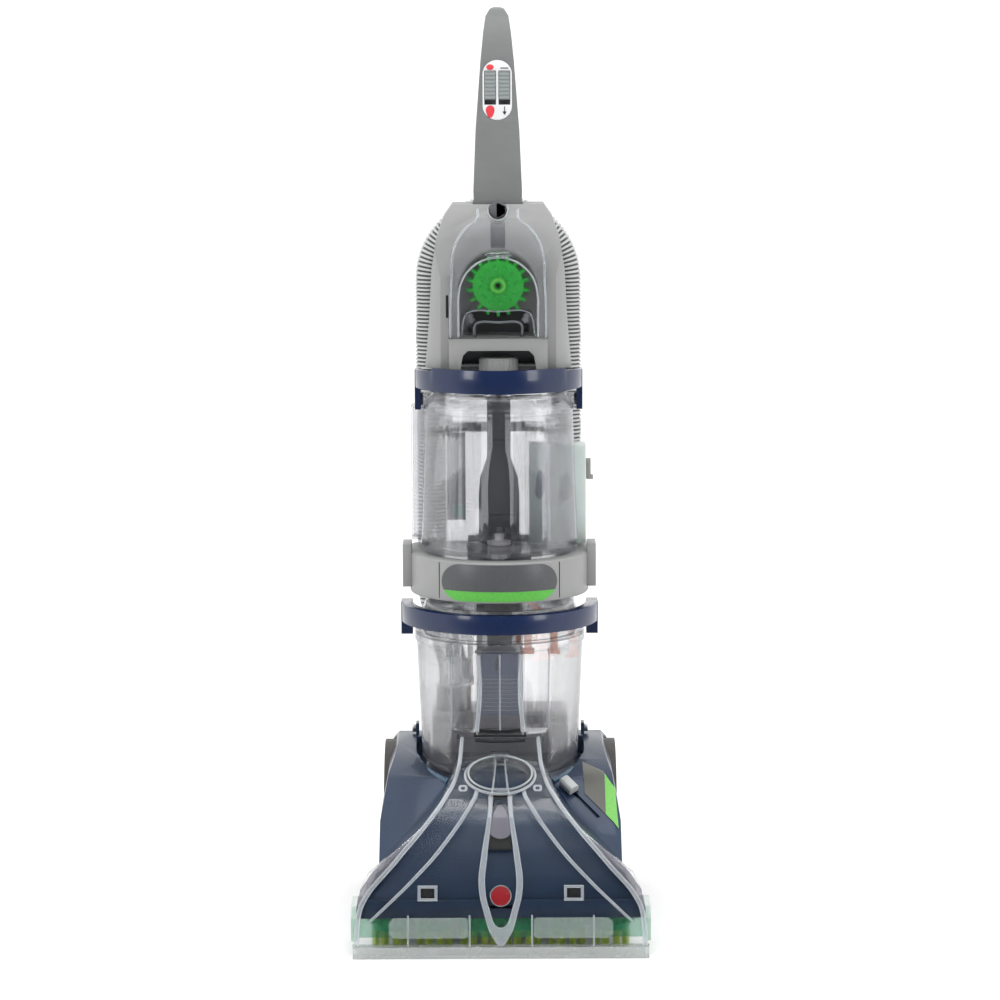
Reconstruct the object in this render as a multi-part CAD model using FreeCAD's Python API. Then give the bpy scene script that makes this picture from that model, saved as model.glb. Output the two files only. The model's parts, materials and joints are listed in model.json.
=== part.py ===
import FreeCAD, Part
import math
import os

# Upright carpet cleaner, millimetres.
# +X is the machine's left-to-right seen from the front, +Y points to the rear, +Z up.
# The origin is on the floor, under the middle of the whole machine.

# ---------------------------------------------------------------- driving dimensions
HEIGHT = 1143.0            # floor to the top of the handle
NOZZLE_HALF = 181.0        # half width of the nozzle
BLOCK_HALF = 183.0         # half width over the ends of the brush block
FRONT_Y = -230.0           # front of the nozzle lip
AXLE_Y = 132.0             # wheel axle and recline pivot
AXLE_Z = 98.0
WHEEL_R = 98.0
AXLE_R = 6.0
RUN_FIT = 0.06             # radial clearance of a shaft in its bore
TANK_Y = 38.0              # centre of the round fronts of both tanks
WALL = 2.5                 # clear tank wall

BRUSH_PITCH = 54.0         # brushes mesh with their neighbours at this spacing
BRUSH_COUNT = 6
BRUSH_Y = -178.0
GEAR_TEETH = 18
DRIVE_TEETH = 9
GEAR_Z = (36.0, 43.0)
BRUSH_PIN_R = 3.0

RECOVERY_BOTTOM = 186.0
RECOVERY_RIM = 357.0
TIP_Y = -61.8              # axis that the recovery tank tips about
TIP_Z = 241.0
TIP_R = 1.4
NECK_TOP = 239.0           # top of the nozzle's suction neck
SILL_TOP = 198.3           # raised sill on the foot that the neck stands over
CRADLE_BOTTOM = 411.0
CRADLE_TOP = 461.5
CLEAN_BOTTOM = 462.0
CLEAN_RIM = 648.0
HOUSING_BOTTOM = 697.0
HOSE_R = 19.0
HOSE_WALL = 1.5
HOSE_LEG_X = 87.0
HOSE_FRONT_Y = 127.0
HOSE_REAR_Y = 171.0
HOSE_ARCH_Z = 797.0
HOSE_BEND_Z = 430.0

# Side profile of the nozzle hood, from the neck down to the floor.
HOOD_SIDE = [(-36, 239), (-64, 239), (-72, 214), (-155, 184), (-178, 164), (-196, 130),
             (-209, 95), (-218, 60), (-225, 30), (-227.5, 14)]
# Side profile of the blue nose under it.
NOSE_SIDE = [(-62, 183), (-80, 197), (-150, 172), (-169, 156), (-186, 124), (-199, 91), (-208, 61)]
# Half widths of the hood seen from the front, as (half width, height).
HOOD_FRONT = [(51, 239), (56, 206), (70, 183), (95, 154), (125, 129), (161, 101),
              (171, 82), (176, 60), (179, 40), (180.5, 14)]


# ---------------------------------------------------------------- shape helpers
def vec(x, y, z):
    return FreeCAD.Vector(x, y, z)


def box(x0, x1, y0, y1, z0, z1):
    return Part.makeBox(x1 - x0, y1 - y0, z1 - z0, vec(x0, y0, z0))


def rod(radius, start, end):
    """Round bar between two points."""
    along = end.sub(start)
    return Part.makeCylinder(radius, along.Length, start, along)


def ring(outer, inner, start, end):
    """Round tube between two points."""
    return rod(outer, start, end).cut(rod(inner, start, end))


def side_prism(points, x0, x1):
    """A (y, z) outline carried along X."""
    corners = [vec(x0, y, z) for y, z in points]
    face = Part.Face(Part.makePolygon(corners + corners[:1]))
    return face.extrude(vec(x1 - x0, 0, 0))


def front_prism(points, y0, y1):
    """An (x, z) outline carried along Y."""
    corners = [vec(x, y0, z) for x, z in points]
    face = Part.Face(Part.makePolygon(corners + corners[:1]))
    return face.extrude(vec(0, y1 - y0, 0))


def both_halves(half_outline):
    """Closes a right-hand (x, z) outline with its mirror image."""
    return half_outline + [(-x, z) for x, z in reversed(half_outline)]


def mirror_x(shape):
    return shape.mirror(vec(0, 0, 0), vec(1, 0, 0))


def pair(shape):
    """A part and its mirror image, as two separate solids."""
    return Part.makeCompound([shape, mirror_x(shape)])


def join(first, *others):
    shape = first
    for other in others:
        shape = shape.fuse(other)
    return shape.removeSplitter()


def d_wire(z, half_width, back, corner=14.0):
    """Plan outline with a round front about TANK_Y and a flat back with rounded corners."""
    side = half_width
    cut = corner * (1 - math.sqrt(0.5))
    front = Part.Arc(vec(-side, TANK_Y, z), vec(0, TANK_Y - side, z), vec(side, TANK_Y, z))
    right = Part.Arc(vec(side, back - corner, z), vec(side - cut, back - cut, z),
                     vec(side - corner, back, z))
    left = Part.Arc(vec(-side + corner, back, z), vec(-side + cut, back - cut, z),
                    vec(-side, back - corner, z))
    edges = [front.toShape(),
             Part.makeLine(vec(side, TANK_Y, z), vec(side, back - corner, z)),
             right.toShape(),
             Part.makeLine(vec(side - corner, back, z), vec(-side + corner, back, z)),
             left.toShape(),
             Part.makeLine(vec(-side, back - corner, z), vec(-side, TANK_Y, z))]
    return Part.Wire(edges)


def d_loft(sections, corner=14.0):
    """Straight walls through D-shaped plan sections given as (height, half width, back)."""
    wires = [d_wire(z, half, back, corner) for z, half, back in sections]
    return Part.makeLoft(wires, True, True)


def spline_face(points, x):
    """Face in a YZ plane with a smooth closed edge through (y, z) points."""
    curve = Part.BSplineCurve()
    curve.interpolate(Points=[vec(x, y, z) for y, z in points], PeriodicFlag=True)
    return Part.Face(Part.Wire([curve.toShape()]))


def stadium(width, height, depth):
    """Upright stadium plate, centred, standing on the XZ plane and going to -Y."""
    straight = height / 2 - width / 2
    body = box(-width / 2, width / 2, -depth, 0, -straight, straight)
    ends = [rod(width / 2, vec(0, 0, s * straight), vec(0, -depth, s * straight)) for s in (-1, 1)]
    return join(body, *ends)


def placed(shape, origin, turn_x):
    """A copy moved to origin and turned about X by turn_x degrees."""
    moved = shape.copy()
    turn = FreeCAD.Placement(origin, FreeCAD.Rotation(vec(1, 0, 0), turn_x))
    moved.Placement = turn.multiply(moved.Placement)
    return moved


def smooth_path(points, radius):
    """Straight runs joined by tangent arcs, with the radius cut down to what each corner allows."""
    edges = []
    here = points[0]
    for before, corner, after in zip(points, points[1:], points[2:]):
        back = before.sub(corner)
        on = after.sub(corner)
        run = min(back.Length, on.Length) * 0.5
        back.normalize()
        on.normalize()
        half = back.getAngle(on) / 2
        reach = min(radius / math.tan(half), run)
        bend = reach * math.tan(half)
        start = corner + back * reach
        end = corner + on * reach
        middle = back + on
        middle.normalize()
        top = corner + middle * (bend / math.sin(half) - bend)
        if start.sub(here).Length > 0.01:
            edges.append(Part.makeLine(here, start))
        edges.append(Part.Arc(start, top, end).toShape())
        here = end
    if points[-1].sub(here).Length > 0.01:
        edges.append(Part.makeLine(here, points[-1]))
    return Part.Wire(edges)


def gear(teeth, first_angle, x, y, z0, z1):
    """Module 3 spur gear with straight-sided teeth; first_angle is a tooth's direction."""
    pitch_r = 1.5 * teeth
    levels = [(pitch_r - 3.9, 0.36), (pitch_r, 0.225), (pitch_r + 2.2, 0.12)]
    points = []
    for tooth in range(teeth):
        middle = math.radians(first_angle) + 2 * math.pi * tooth / teeth
        step = 2 * math.pi / teeth
        rising = [(r, middle - share * step) for r, share in levels]
        falling = [(r, middle + share * step) for r, share in reversed(levels)]
        points += [vec(x + r * math.cos(a), y + r * math.sin(a), z0) for r, a in rising + falling]
    face = Part.Face(Part.makePolygon(points + points[:1]))
    return face.extrude(vec(0, 0, z1 - z0))


# ---------------------------------------------------------------- foot
def wheel_space(x0, x1, radius):
    return rod(radius, vec(x0, AXLE_Y, AXLE_Z), vec(x1, AXLE_Y, AXLE_Z))


FENDER_SIDE = [(-144, 26), (-144, 98), (-118, 120), (-40, 182), (0, 198), (60, 207), (140, 207),
               (190, 190), (206, 160), (206, 150), (168, 60), (150, 26)]
FENDER_FRONT = [(60, 26), (146, 26), (150, 60), (150, 140), (141, 186), (131, 207), (60, 207)]


def fender_solid():
    fender = side_prism(FENDER_SIDE, 60, 150).common(front_prism(FENDER_FRONT, -150, 206))
    # Room for the tank, for the column behind it and for the wheel.
    fender = fender.cut(d_loft([(183, 105, 108), (230, 110, 108)]))
    fender = fender.cut(box(50, 92, 92, 230, 20, 230))
    fender = fender.cut(box(90, 104.5, 172, 230, 20, 230))
    return fender.cut(wheel_space(115.5, 152, WHEEL_R + 4))


def fender_room():
    """Hollow inside a fender."""
    room = side_prism([(-139, 30), (-139, 97), (-114, 117), (-38, 178), (2, 194), (100, 203), (100, 30)], 104, 146)
    room = room.common(front_prism([(104, 30), (143, 30), (146, 62), (146, 138), (137, 184), (129, 203),
                                    (108, 203), (104, 180)], -140, 100))
    return room.cut(wheel_space(110, 152, WHEEL_R + 8))


def base_housing():
    nose_front = both_halves([(150, 20), (150, 98), (119, 127), (89, 152), (64, 181), (54, 200)])
    nose = side_prism([(-40, 20), (-40, 183)] + NOSE_SIDE + [(-144, 61), (-144, 20)], -150, 150)
    nose = nose.common(front_prism(nose_front, -215, -30))
    toe = side_prism([(-144, 61), (-144, 90)] + NOSE_SIDE[-3:], -168, 168)
    toe = toe.common(front_prism(both_halves([(168, 61), (166, 72), (152, 98), (122, 124)]), -215, -140))
    tray = d_loft([(20, 104, 92), (183, 104, 92)])
    fenders = join(fender_solid(), box(92, 106, 92, 168, 58, 160))
    sill = box(-54, 54, -66, -33, 181, SILL_TOP).cut(box(-50, 50, -62, -38, 183, SILL_TOP + 1))
    body = join(nose, toe, tray, sill, fenders, mirror_x(fenders))
    inside = side_prism([(88, 19), (88, 179), (-62, 179), (-82, 191), (-147, 168), (-165, 152),
                         (-181, 121), (-193, 90), (-200, 66), (-139, 66), (-139, 19)], -100, 100)
    inside = inside.common(front_prism(both_halves([(100, 19), (100, 138), (86, 149), (61, 178), (50, 196)]),
                                       -210, 90))
    body = body.cut(inside)
    body = body.cut(fender_room()).cut(mirror_x(fender_room()))
    # Pocket behind the brush bay for the drive gear.
    body = body.cut(box(8, 46, -150, -116, 19, 67))
    # Slot for the brush speed lever.
    body = body.cut(on_track(box(-3, 60, -2.2, 2.2, -4.5, 3)))
    # Axle and pedal pin bores, and room for the pedal.
    body = body.cut(rod(AXLE_R, vec(-120, AXLE_Y, AXLE_Z), vec(120, AXLE_Y, AXLE_Z)))
    body = body.cut(box(-117, -106.5, 150, 215, 40, 84))
    body = body.cut(rod(3.0, vec(-120, 160, 66), vec(-90, 160, 66)))
    ears = pair(box(105, 109, 112, 132, 200, 222)).Solids
    body = join(body, *ears)
    return body.cut(rod(3.5, vec(-112, 122, 214), vec(112, 122, 214)))


TRACK_START = vec(86, -52, 172.46)
TRACK_AXIS = vec(47, -48, -38.16)


def on_track(shape):
    """Puts a shape drawn about the origin on the lever track: X along it, Z off the fender."""
    along = FreeCAD.Vector(TRACK_AXIS)
    along.normalize()
    off = vec(0, -0.622, 0.783)
    across = off.cross(along)
    across.normalize()
    off = along.cross(across)
    frame = FreeCAD.Matrix(along.x, across.x, off.x, TRACK_START.x,
                           along.y, across.y, off.y, TRACK_START.y,
                           along.z, across.z, off.z, TRACK_START.z, 0, 0, 0, 1)
    return shape.transformGeometry(frame)


def speed_lever():
    knob = side_prism([(-7, 0.4), (-7, 9), (-4, 12), (4, 12), (7, 9), (7, 0.4)], -11, 11)
    stem = box(-2.5, 6, -1.7, 1.7, -3.8, 1)
    return on_track(join(knob, stem))


def speed_label():
    skin = fender_solid()
    raised = skin.copy()
    raised.translate(vec(0, -0.7, 0.9))
    outline = [(104, 196), (130, 188), (144, 172), (147, 132), (141, 138.5), (122, 154), (106, 167)]
    return raised.cut(skin).common(front_prism(outline, -112, 30))


def base_plate():
    return box(-100, 100, -139, 88, 14, 18.9)


def base_pins():
    axle = rod(AXLE_R, vec(-147, AXLE_Y, AXLE_Z), vec(147, AXLE_Y, AXLE_Z))
    pedal_pin = rod(3.0, vec(-114.5, 160, 66), vec(-92, 160, 66))
    studs = pair(join(rod(3.5, vec(105, 122, 214), vec(109, 122, 214)),
                      rod(5.0, vec(109, 122, 214), vec(114, 122, 214))))
    return Part.makeCompound([axle, pedal_pin] + studs.Solids)


def wheel(side):
    x0, x1 = 118.0, 149.5
    tread = wheel_space(x0, x1, WHEEL_R)
    tread = tread.cut(wheel_space(x1 - 12, x1 + 1, WHEEL_R - 12))
    tread = tread.cut(wheel_space(x0 - 1, x0 + 12, WHEEL_R - 12))
    hub = wheel_space(x0, x1 - 3, 17)
    shape = join(tread, hub)
    for spoke in range(6):
        angle = math.pi * spoke / 3
        hole = rod(16, vec(x0 - 1, AXLE_Y + 52 * math.cos(angle), AXLE_Z + 52 * math.sin(angle)),
                   vec(x1 + 1, AXLE_Y + 52 * math.cos(angle), AXLE_Z + 52 * math.sin(angle)))
        shape = shape.cut(hole)
    shape = shape.cut(wheel_space(x0 - 1, x1 + 1, AXLE_R + RUN_FIT))
    return shape if side > 0 else mirror_x(shape)


def recline_pedal():
    hub = rod(7, vec(-114, 160, 66), vec(-108, 160, 66))
    plate = side_prism([(158, 73), (166, 73), (206, 66), (212, 60), (210, 57), (160, 62)], -114, -108.5)
    tread = side_prism([(176, 70.5), (206, 66), (212, 60), (210, 57), (176, 61)], -114, -91)
    shape = join(hub, plate, tread)
    return shape.cut(rod(3.0 + RUN_FIT, vec(-116, 160, 66), vec(-90, 160, 66)))


def brush_motor():
    body = rod(27, vec(27, BRUSH_Y + 40.5, 82), vec(27, BRUSH_Y + 40.5, 142))
    end = rod(12, vec(27, BRUSH_Y + 40.5, 142), vec(27, BRUSH_Y + 40.5, 150))
    return join(body, end).cut(rod(4 + RUN_FIT, vec(27, BRUSH_Y + 40.5, 81), vec(27, BRUSH_Y + 40.5, 96)))


# ---------------------------------------------------------------- brushes
def brush_x(index):
    return (index - (BRUSH_COUNT - 1) / 2) * BRUSH_PITCH


def brush_block():
    plate = box(-BLOCK_HALF, BLOCK_HALF, -209.5, -146, 48, 58)
    ends = [box(-BLOCK_HALF, -175.5, -209, -150, 17, 48), box(175.5, BLOCK_HALF, -209, -150, 17, 48)]
    skirt = box(-176, 176, -209.5, -208.3, 22, 48)
    shape = join(plate, skirt, *ends)
    for index in range(BRUSH_COUNT):
        x = brush_x(index)
        pin = rod(BRUSH_PIN_R, vec(x, BRUSH_Y, 24), vec(x, BRUSH_Y, 48))
        shape = shape.fuse(pin)
    # Way through for the drive shaft.
    return shape.cut(rod(20, vec(27, BRUSH_Y + 40.5, 40), vec(27, BRUSH_Y + 40.5, 60)))


def brush(index):
    x = brush_x(index)
    first = 0.0 if index % 2 == 0 else 180.0 / GEAR_TEETH
    shape = gear(GEAR_TEETH, first, x, BRUSH_Y, GEAR_Z[0], GEAR_Z[1])
    shape = shape.fuse(rod(23.0, vec(x, BRUSH_Y, 27), vec(x, BRUSH_Y, GEAR_Z[0])))
    for tuft in range(8):
        angle = math.pi * tuft / 4 + math.pi / 8
        cx = x + 19.0 * math.cos(angle)
        cy = BRUSH_Y + 19.0 * math.sin(angle)
        shape = shape.fuse(Part.makeCone(3.4, 4.2, 23, vec(cx, cy, 27), vec(0, 0, -1)))
    shape = shape.cut(rod(BRUSH_PIN_R + RUN_FIT, vec(x, BRUSH_Y, 23.5), vec(x, BRUSH_Y, 48)))
    return shape


def drive_gear():
    x = 27.0
    y = BRUSH_Y + 40.5
    # The third brush has a gap towards it when a tooth points along +X, so a tooth fills it.
    driven = 3
    first = -90.0 if driven % 2 == 0 else -90.0 + 180.0 / DRIVE_TEETH
    teeth = gear(DRIVE_TEETH, first, x, y, GEAR_Z[0], GEAR_Z[1])
    return join(teeth, rod(4, vec(x, y, GEAR_Z[1]), vec(x, y, 95)))


# ---------------------------------------------------------------- nozzle
def inset(points, amount):
    """Half-width outline moved inwards."""
    return [(x - amount, z) for x, z in points]


def nozzle_hood():
    back = [(y - 0.9, z + 0.5) for y, z in reversed(NOSE_SIDE)]
    outer_side = HOOD_SIDE + [(-211, 14), (-211, 58)] + back + [(-36, 184.5)]
    inner_side = [(-39.5, 240), (-61.5, 240), (-69.5, 211), (-153.5, 181), (-175.5, 162), (-193, 128.5),
                  (-206, 94), (-215, 59.5), (-222, 29), (-224.5, 13), (-214, 13), (-214, 58),
                  (-210.5, 58), (-207, 63)] + [(y, z - 1) for y, z in back[1:]] + [(-39.5, 182)]
    outer = side_prism(outer_side, -NOZZLE_HALF, NOZZLE_HALF)
    outer = outer.common(front_prism(both_halves(HOOD_FRONT), -240, -30))
    inner = side_prism(inner_side, -NOZZLE_HALF, NOZZLE_HALF)
    inner_front = inset(HOOD_FRONT, 3.0)
    inner_front[0] = (48, 241)
    inner_front[-1] = (177.5, 12)
    inner = inner.common(front_prism(both_halves(inner_front), -240, -30))
    hood = outer.cut(inner)
    # The neck is a straight box that stands in the tank's notch.
    hood = hood.cut(box(-181, 181, -66.5, -30, 100, 245)).cut(box(-181, 181, -81, -30, 100, SILL_TOP + 0.5))
    neck = box(-54, 54, -68, -36, SILL_TOP + 0.5, NECK_TOP).cut(box(-51, 51, -64.5, -39.5, 180, 245))
    hood = hood.fuse(neck)
    hood = hood.cut(box(-50, 50, -80, -50, 196, 207))
    port = port_frame(ring(45, 36, vec(0, 0, -3), vec(0, 0, 4)))
    hood = join(hood, port)
    return hood.cut(port_frame(rod(36, vec(0, 0, -12), vec(0, 0, 10))))


PORT_TILT = math.degrees(math.atan2(30, 83))


def port_frame(shape):
    """Puts a shape drawn about the origin on the sloping port of the hood."""
    return placed(shape, vec(0, -114, 198.8), PORT_TILT)


def port_cap():
    disc = rod(43, vec(0, 0, 4.6), vec(0, 0, 7.6))
    plug = ring(35.2, 33, vec(0, 0, 0.5), vec(0, 0, 4.6))
    strap = front_prism([(-9, 7.6), (9, 7.6), (7, 11), (-7, 11)], -46, 40)
    knuckle = rod(3.4, vec(-12, 44.5, 8), vec(12, 44.5, 8))
    tongue = box(-8, 8, 38, 44.5, 4.8, 9)
    return port_frame(join(disc, plug, strap, knuckle, tongue))


def suction_lip():
    lip = box(-180, 180, FRONT_Y, -211, 0, 13.9)
    lip = lip.cut(box(-175, 175, -224.5, -214, -1, 15))
    bevel = side_prism([(FRONT_Y - 1, 6), (FRONT_Y - 1, 15), (FRONT_Y + 2.4, 15)], -182, 182)
    return lip.cut(bevel)


def badge():
    """Plain round badge on the nose, seen through the hood."""
    lean = -math.degrees(math.atan2(9, 30))
    disc = rod(13.0, vec(0, 0, 0), vec(0, -1.6, 0))
    return placed(disc, vec(0, -204.7, 72.0), lean)


# ---------------------------------------------------------------- recovery tank
def recovery_tank():
    back = 100.0
    outer = d_loft([(RECOVERY_BOTTOM, 88, back - 8), (198, 99, back), (347, 105.5, back),
                    (349, 107.5, back), (RECOVERY_RIM, 107.5, back)])
    inner = d_loft([(RECOVERY_BOTTOM + WALL, 86.5, back - 9.5), (198, 96.5, back - WALL),
                    (347, 103, back - WALL), (RECOVERY_RIM + 1, 103.4, back - WALL)])
    notch = box(-58, 58, -75, -30, 180, 242)
    notch_inner = box(-60.5, 60.5, -80, -27.5, 180, 244.5)
    tank = outer.cut(notch).cut(inner.cut(notch_inner))
    duct = box(-31, 31, -70, -36, 244, 346).common(d_loft([(198, 98, back), (347, 104.5, back)]))
    tank = tank.fuse(duct)
    tank = tank.cut(box(-28.5, 28.5, -58.6, -38.5, 241, 347))
    pivots = pair(rod(6, vec(102, TANK_Y, 372), vec(110.4, TANK_Y, 372)))
    ears = pair(box(103, 107, 26, 50, 350, 383))
    # Rounded rest under the front of the wall, which the tank tips over.
    rest = rod(TIP_R, vec(-14, TIP_Y, TIP_Z), vec(14, TIP_Y, TIP_Z))
    tank = tank.fuse(ears).fuse(pivots).fuse(rest)
    return tank.removeSplitter()


def recovery_lid():
    back = 100.0
    skirt = d_loft([(357.2, 106, back), (361, 106, back)])
    dome = d_loft([(361, 98, back - 4), (384, 98, back - 4), (398, 94, back - 8), (403, 84, back - 18)])
    hollow = d_loft([(357, 95.5, back - 6.5), (384, 95.5, back - 6.5), (396.5, 91.5, back - 10.5),
                     (400.5, 82, back - 20)])
    lid = join(skirt, dome).cut(hollow)
    lid = lid.cut(pair(box(102.6, 108, 25.5, 50.5, 356, 384)))
    # Bridge that holds the float cage.
    bridge = box(-84, -26, 22, 58, 357.4, 361)
    bridge = bridge.cut(rod(12, vec(-55, 40, 350), vec(-55, 40, 370)))
    span = box(-104, 104, 34, 46, 357.4, 361)
    span = span.cut(rod(12, vec(-55, 40, 350), vec(-55, 40, 370)))
    return join(lid, bridge, span.common(d_loft([(357, 100, back), (362, 100, back)])))


def float_cage():
    wall = ring(22, 19, vec(-55, 40, 288), vec(-55, 40, 357.3))
    floor = ring(22, 8, vec(-55, 40, 288), vec(-55, 40, 291))
    cage = join(wall, floor)
    for angle in (0, 60, 120):
        window = box(-30, 30, -6, 6, 297, 345)
        window.Placement = FreeCAD.Placement(vec(-55, 40, 0), FreeCAD.Rotation(vec(0, 0, 1), angle))
        cage = cage.cut(window)
    return cage


def recovery_float():
    return rod(17.5, vec(-55, 40, 291.3), vec(-55, 40, 320))


def lid_clips():
    clips = []
    for x in (36.0, 69.0):
        stem = box(x - 5, x + 5, 34, 42, 334, 357.3)
        foot = box(x - 8, x + 8, 30, 44, 328, 334)
        clips.append(join(stem, foot))
    return Part.makeCompound(clips)


def recovery_gasket():
    seal = box(-33, 33, -62, -34.5, 239.7, 242).cut(box(-29, 29, -59, -38, 239, 243))
    # Room for the tank's rounded rest.
    return seal.cut(box(-14.5, 14.5, -63, -60.2, 239, 243))


def bail(inner_half, outer_half, z0, z1, arm_back, pivot_z, pivot_r):
    """Carry bail: a half hoop round the tank front with a pad and a pin bore on each side."""
    hoop = d_loft([(z0, outer_half, arm_back + 20), (z1, outer_half, arm_back + 20)])
    hoop = hoop.cut(d_loft([(z0 - 1, inner_half, arm_back + 30), (z1 + 1, inner_half, arm_back + 30)]))
    hoop = hoop.common(box(-outer_half - 1, outer_half + 1, TANK_Y - outer_half - 1, arm_back, z0 - 1, z1 + 1))
    pad = box(inner_half, outer_half, TANK_Y - 14, arm_back, pivot_z - 16, z1)
    shape = join(hoop, pad, mirror_x(pad))
    axle = rod(pivot_r + RUN_FIT, vec(-outer_half + 4, TANK_Y, pivot_z), vec(outer_half - 4, TANK_Y, pivot_z))
    return shape.cut(axle)


def recovery_bail():
    return bail(110.0, 124.6, 373, 396.5, 56.0, 372.0, 6.0)


# ---------------------------------------------------------------- upright: lower column
def motor_housing():
    outer = side_prism([(126, 72), (112, 84), (112, 232), (118, 236), (185, 236), (185, 84), (174, 72)],
                       -88, 88)
    inner = side_prism([(128, 75), (115, 86), (115, 230), (119, 233), (186, 233), (186, 84), (184, 84),
                        (173, 75)], -85, 85)
    bosses = join(rod(14, vec(-88, AXLE_Y, AXLE_Z), vec(-70, AXLE_Y, AXLE_Z)),
                  rod(14, vec(70, AXLE_Y, AXLE_Z), vec(88, AXLE_Y, AXLE_Z)))
    shape = join(outer.cut(inner), bosses)
    shape = shape.cut(rod(AXLE_R + RUN_FIT, vec(-90, AXLE_Y, AXLE_Z), vec(90, AXLE_Y, AXLE_Z)))
    # Hose port in the top.
    return shape.cut(rod(18, vec(-60, HOSE_FRONT_Y + 12, 225), vec(-60, HOSE_FRONT_Y + 12, 240)))


def rear_cover():
    cover = box(-88, 88, 185, 188.5, 84, 236)
    for row in range(7):
        z = 150 + row * 9
        cover = cover.cut(box(-45, 45, 184, 190, z, z + 4))
    return cover.cut(rod(7, vec(60, 184, 105), vec(60, 190, 105)))


def cord_inlet():
    gland = Part.makeCone(8, 5, 24, vec(60, 188.5, 105), vec(0, 1, 0))
    neck = rod(7, vec(60, 183, 105), vec(60, 188.5, 105))
    return join(gland, neck).cut(rod(3.6, vec(60, 180, 105), vec(60, 216, 105)))


def suction_motor():
    can = rod(32, vec(0, 150, 112), vec(0, 150, 186))
    foot = ring(36, 30, vec(0, 149, 118), vec(0, 149, 124)).common(box(-40, 40, 116, 184, 100, 130))
    boss = rod(12, vec(0, 150, 186), vec(0, 150, 192))
    shape = join(can, foot, boss)
    return shape.cut(rod(4 + RUN_FIT, vec(0, 150, 176), vec(0, 150, 195)))


def motor_fan():
    disc = rod(31, vec(0, 150, 198), vec(0, 150, 201))
    shaft = rod(4, vec(0, 150, 178), vec(0, 150, 218))
    shape = join(disc, shaft)
    for blade in range(8):
        vane = box(8, 30, -1, 1, 200.5, 216)
        vane.Placement = FreeCAD.Placement(vec(0, 150, 0), FreeCAD.Rotation(vec(0, 0, 1), 45 * blade))
        shape = shape.fuse(vane)
    return shape


def pump():
    body = box(42, 80, 122, 168, 120, 160)
    inlet = rod(5, vec(61, 145, 160), vec(61, 145, 178))
    return join(body, inlet)


def column_spine():
    lower = box(-30, 30, 108, 121.5, 236, 470)
    lower = lower.cut(box(-27, 27, 111, 118.5, 240, 466))
    upper = box(-13, 13, 121.5, 150, 440, HOUSING_BOTTOM)
    upper = upper.cut(box(-10, 10, 124.5, 147, 446, 694))
    return join(lower, upper)


def air_duct():
    outline = [(11, 694), (15, 680), (15, 570), (24, 545), (26, 522), (26, 470), (22, 463)]
    outer = front_prism(both_halves(outline), 101, 121.4)
    inner = front_prism(both_halves([(9, 693), (12.5, 679), (12.5, 570), (21, 545), (23.5, 522),
                                     (23.5, 472), (20, 465)]), 103.5, 119)
    duct = outer.cut(inner)
    # Lower part sits in front of the spine, which is thinner there.
    return duct.cut(box(-31, 31, 107.9, 122, 460, 470.1))


def tank_cradle():
    outer = d_loft([(CRADLE_BOTTOM, 112, 106), (CRADLE_BOTTOM + 2, 113, 106), (CRADLE_TOP - 1.5, 113, 106),
                    (CRADLE_TOP, 111.5, 106)])
    inner = d_loft([(CRADLE_BOTTOM - 1, 109.5, 103), (455, 109.5, 103)])
    shape = outer.cut(inner)
    tab = box(111, 122, 16, 58, 418, 472)
    slot = box(112.9, 119.5, 20, 54, 417, 466)
    tabs = tab.cut(slot)
    shape = join(shape, tabs, mirror_x(tabs))
    stay = box(-40, 40, 103, 108, 415, 470).cut(box(-31, 31, 107.9, 110, 410, 475))
    stay = stay.cut(box(-27, 27, 100, 109, 461.6, 475))
    arms = pair(box(30, 40, 106, 121.5, 415, 460)).Solids
    return join(shape, stay, *arms)


def cradle_label():
    """Stadium name panel without any lettering, wrapped on the cradle's front."""
    skin = d_loft([(413, 114.6, 106), (459, 114.6, 106)]).cut(d_loft([(412, 113, 106), (460, 113, 106)]))
    half = 23.0
    outline = join(box(-49, 49, -80, 0, 413, 459),
                   rod(half, vec(-49, -80, 436), vec(-49, 0, 436)),
                   rod(half, vec(49, -80, 436), vec(49, 0, 436)))
    return skin.common(outline)


# ---------------------------------------------------------------- clean tank
def clean_tank():
    back = 98.0
    outer = d_loft([(CLEAN_BOTTOM, 94, back - 4), (472, 99.5, back), (640, 93.5, back), (642, 95, back),
                    (CLEAN_RIM, 95, back), (664, 84, back - 12)])
    wing = box(-111.5, -88, 62, back, 472, 642)
    outer = outer.fuse(wing)
    inner = d_loft([(CLEAN_BOTTOM + WALL, 92, back - 6.5), (472, 97, back - WALL), (640, 91, back - WALL),
                    (CLEAN_RIM, 92, back - WALL), (661.5, 81.5, back - 14.5)])
    inner = inner.fuse(box(-109, -85, 64.5, back - WALL, 474.5, 639.5))
    pocket = box(36, 118, 58, back + 2, 460, 616)
    pocket_wall = box(33.5, 118, 55.5, back + 2, 455, 618.5)
    tank = outer.cut(pocket).cut(inner.cut(pocket_wall))
    neck = ring(20, 17, vec(0, -8, 660), vec(0, -8, 686))
    tank = tank.fuse(neck).cut(rod(17, vec(0, -8, 655), vec(0, -8, 690)))
    # Shelf inside the pocket that carries the detergent bottle, with the tank floor under it.
    shelf = box(36, 100, 58, 94, CLEAN_BOTTOM, 465)
    tank = tank.fuse(shelf)
    posts = pair(rod(5, vec(90, TANK_Y, 654), vec(97.6, TANK_Y, 654))).Solids
    cheeks = pair(box(84, 94.5, 28, 48, 644, 661)).Solids
    for piece in posts + cheeks:
        tank = tank.fuse(piece)
    tank = tank.cut(rod(9, vec(0, 64, 460), vec(0, 64, 465)))
    return tank.removeSplitter()


def tank_valve():
    flange = ring(15, 6, vec(0, 64, 464.5), vec(0, 64, 469))
    poppet = rod(6, vec(0, 64, 463), vec(0, 64, 478))
    return join(flange, poppet)


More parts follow.
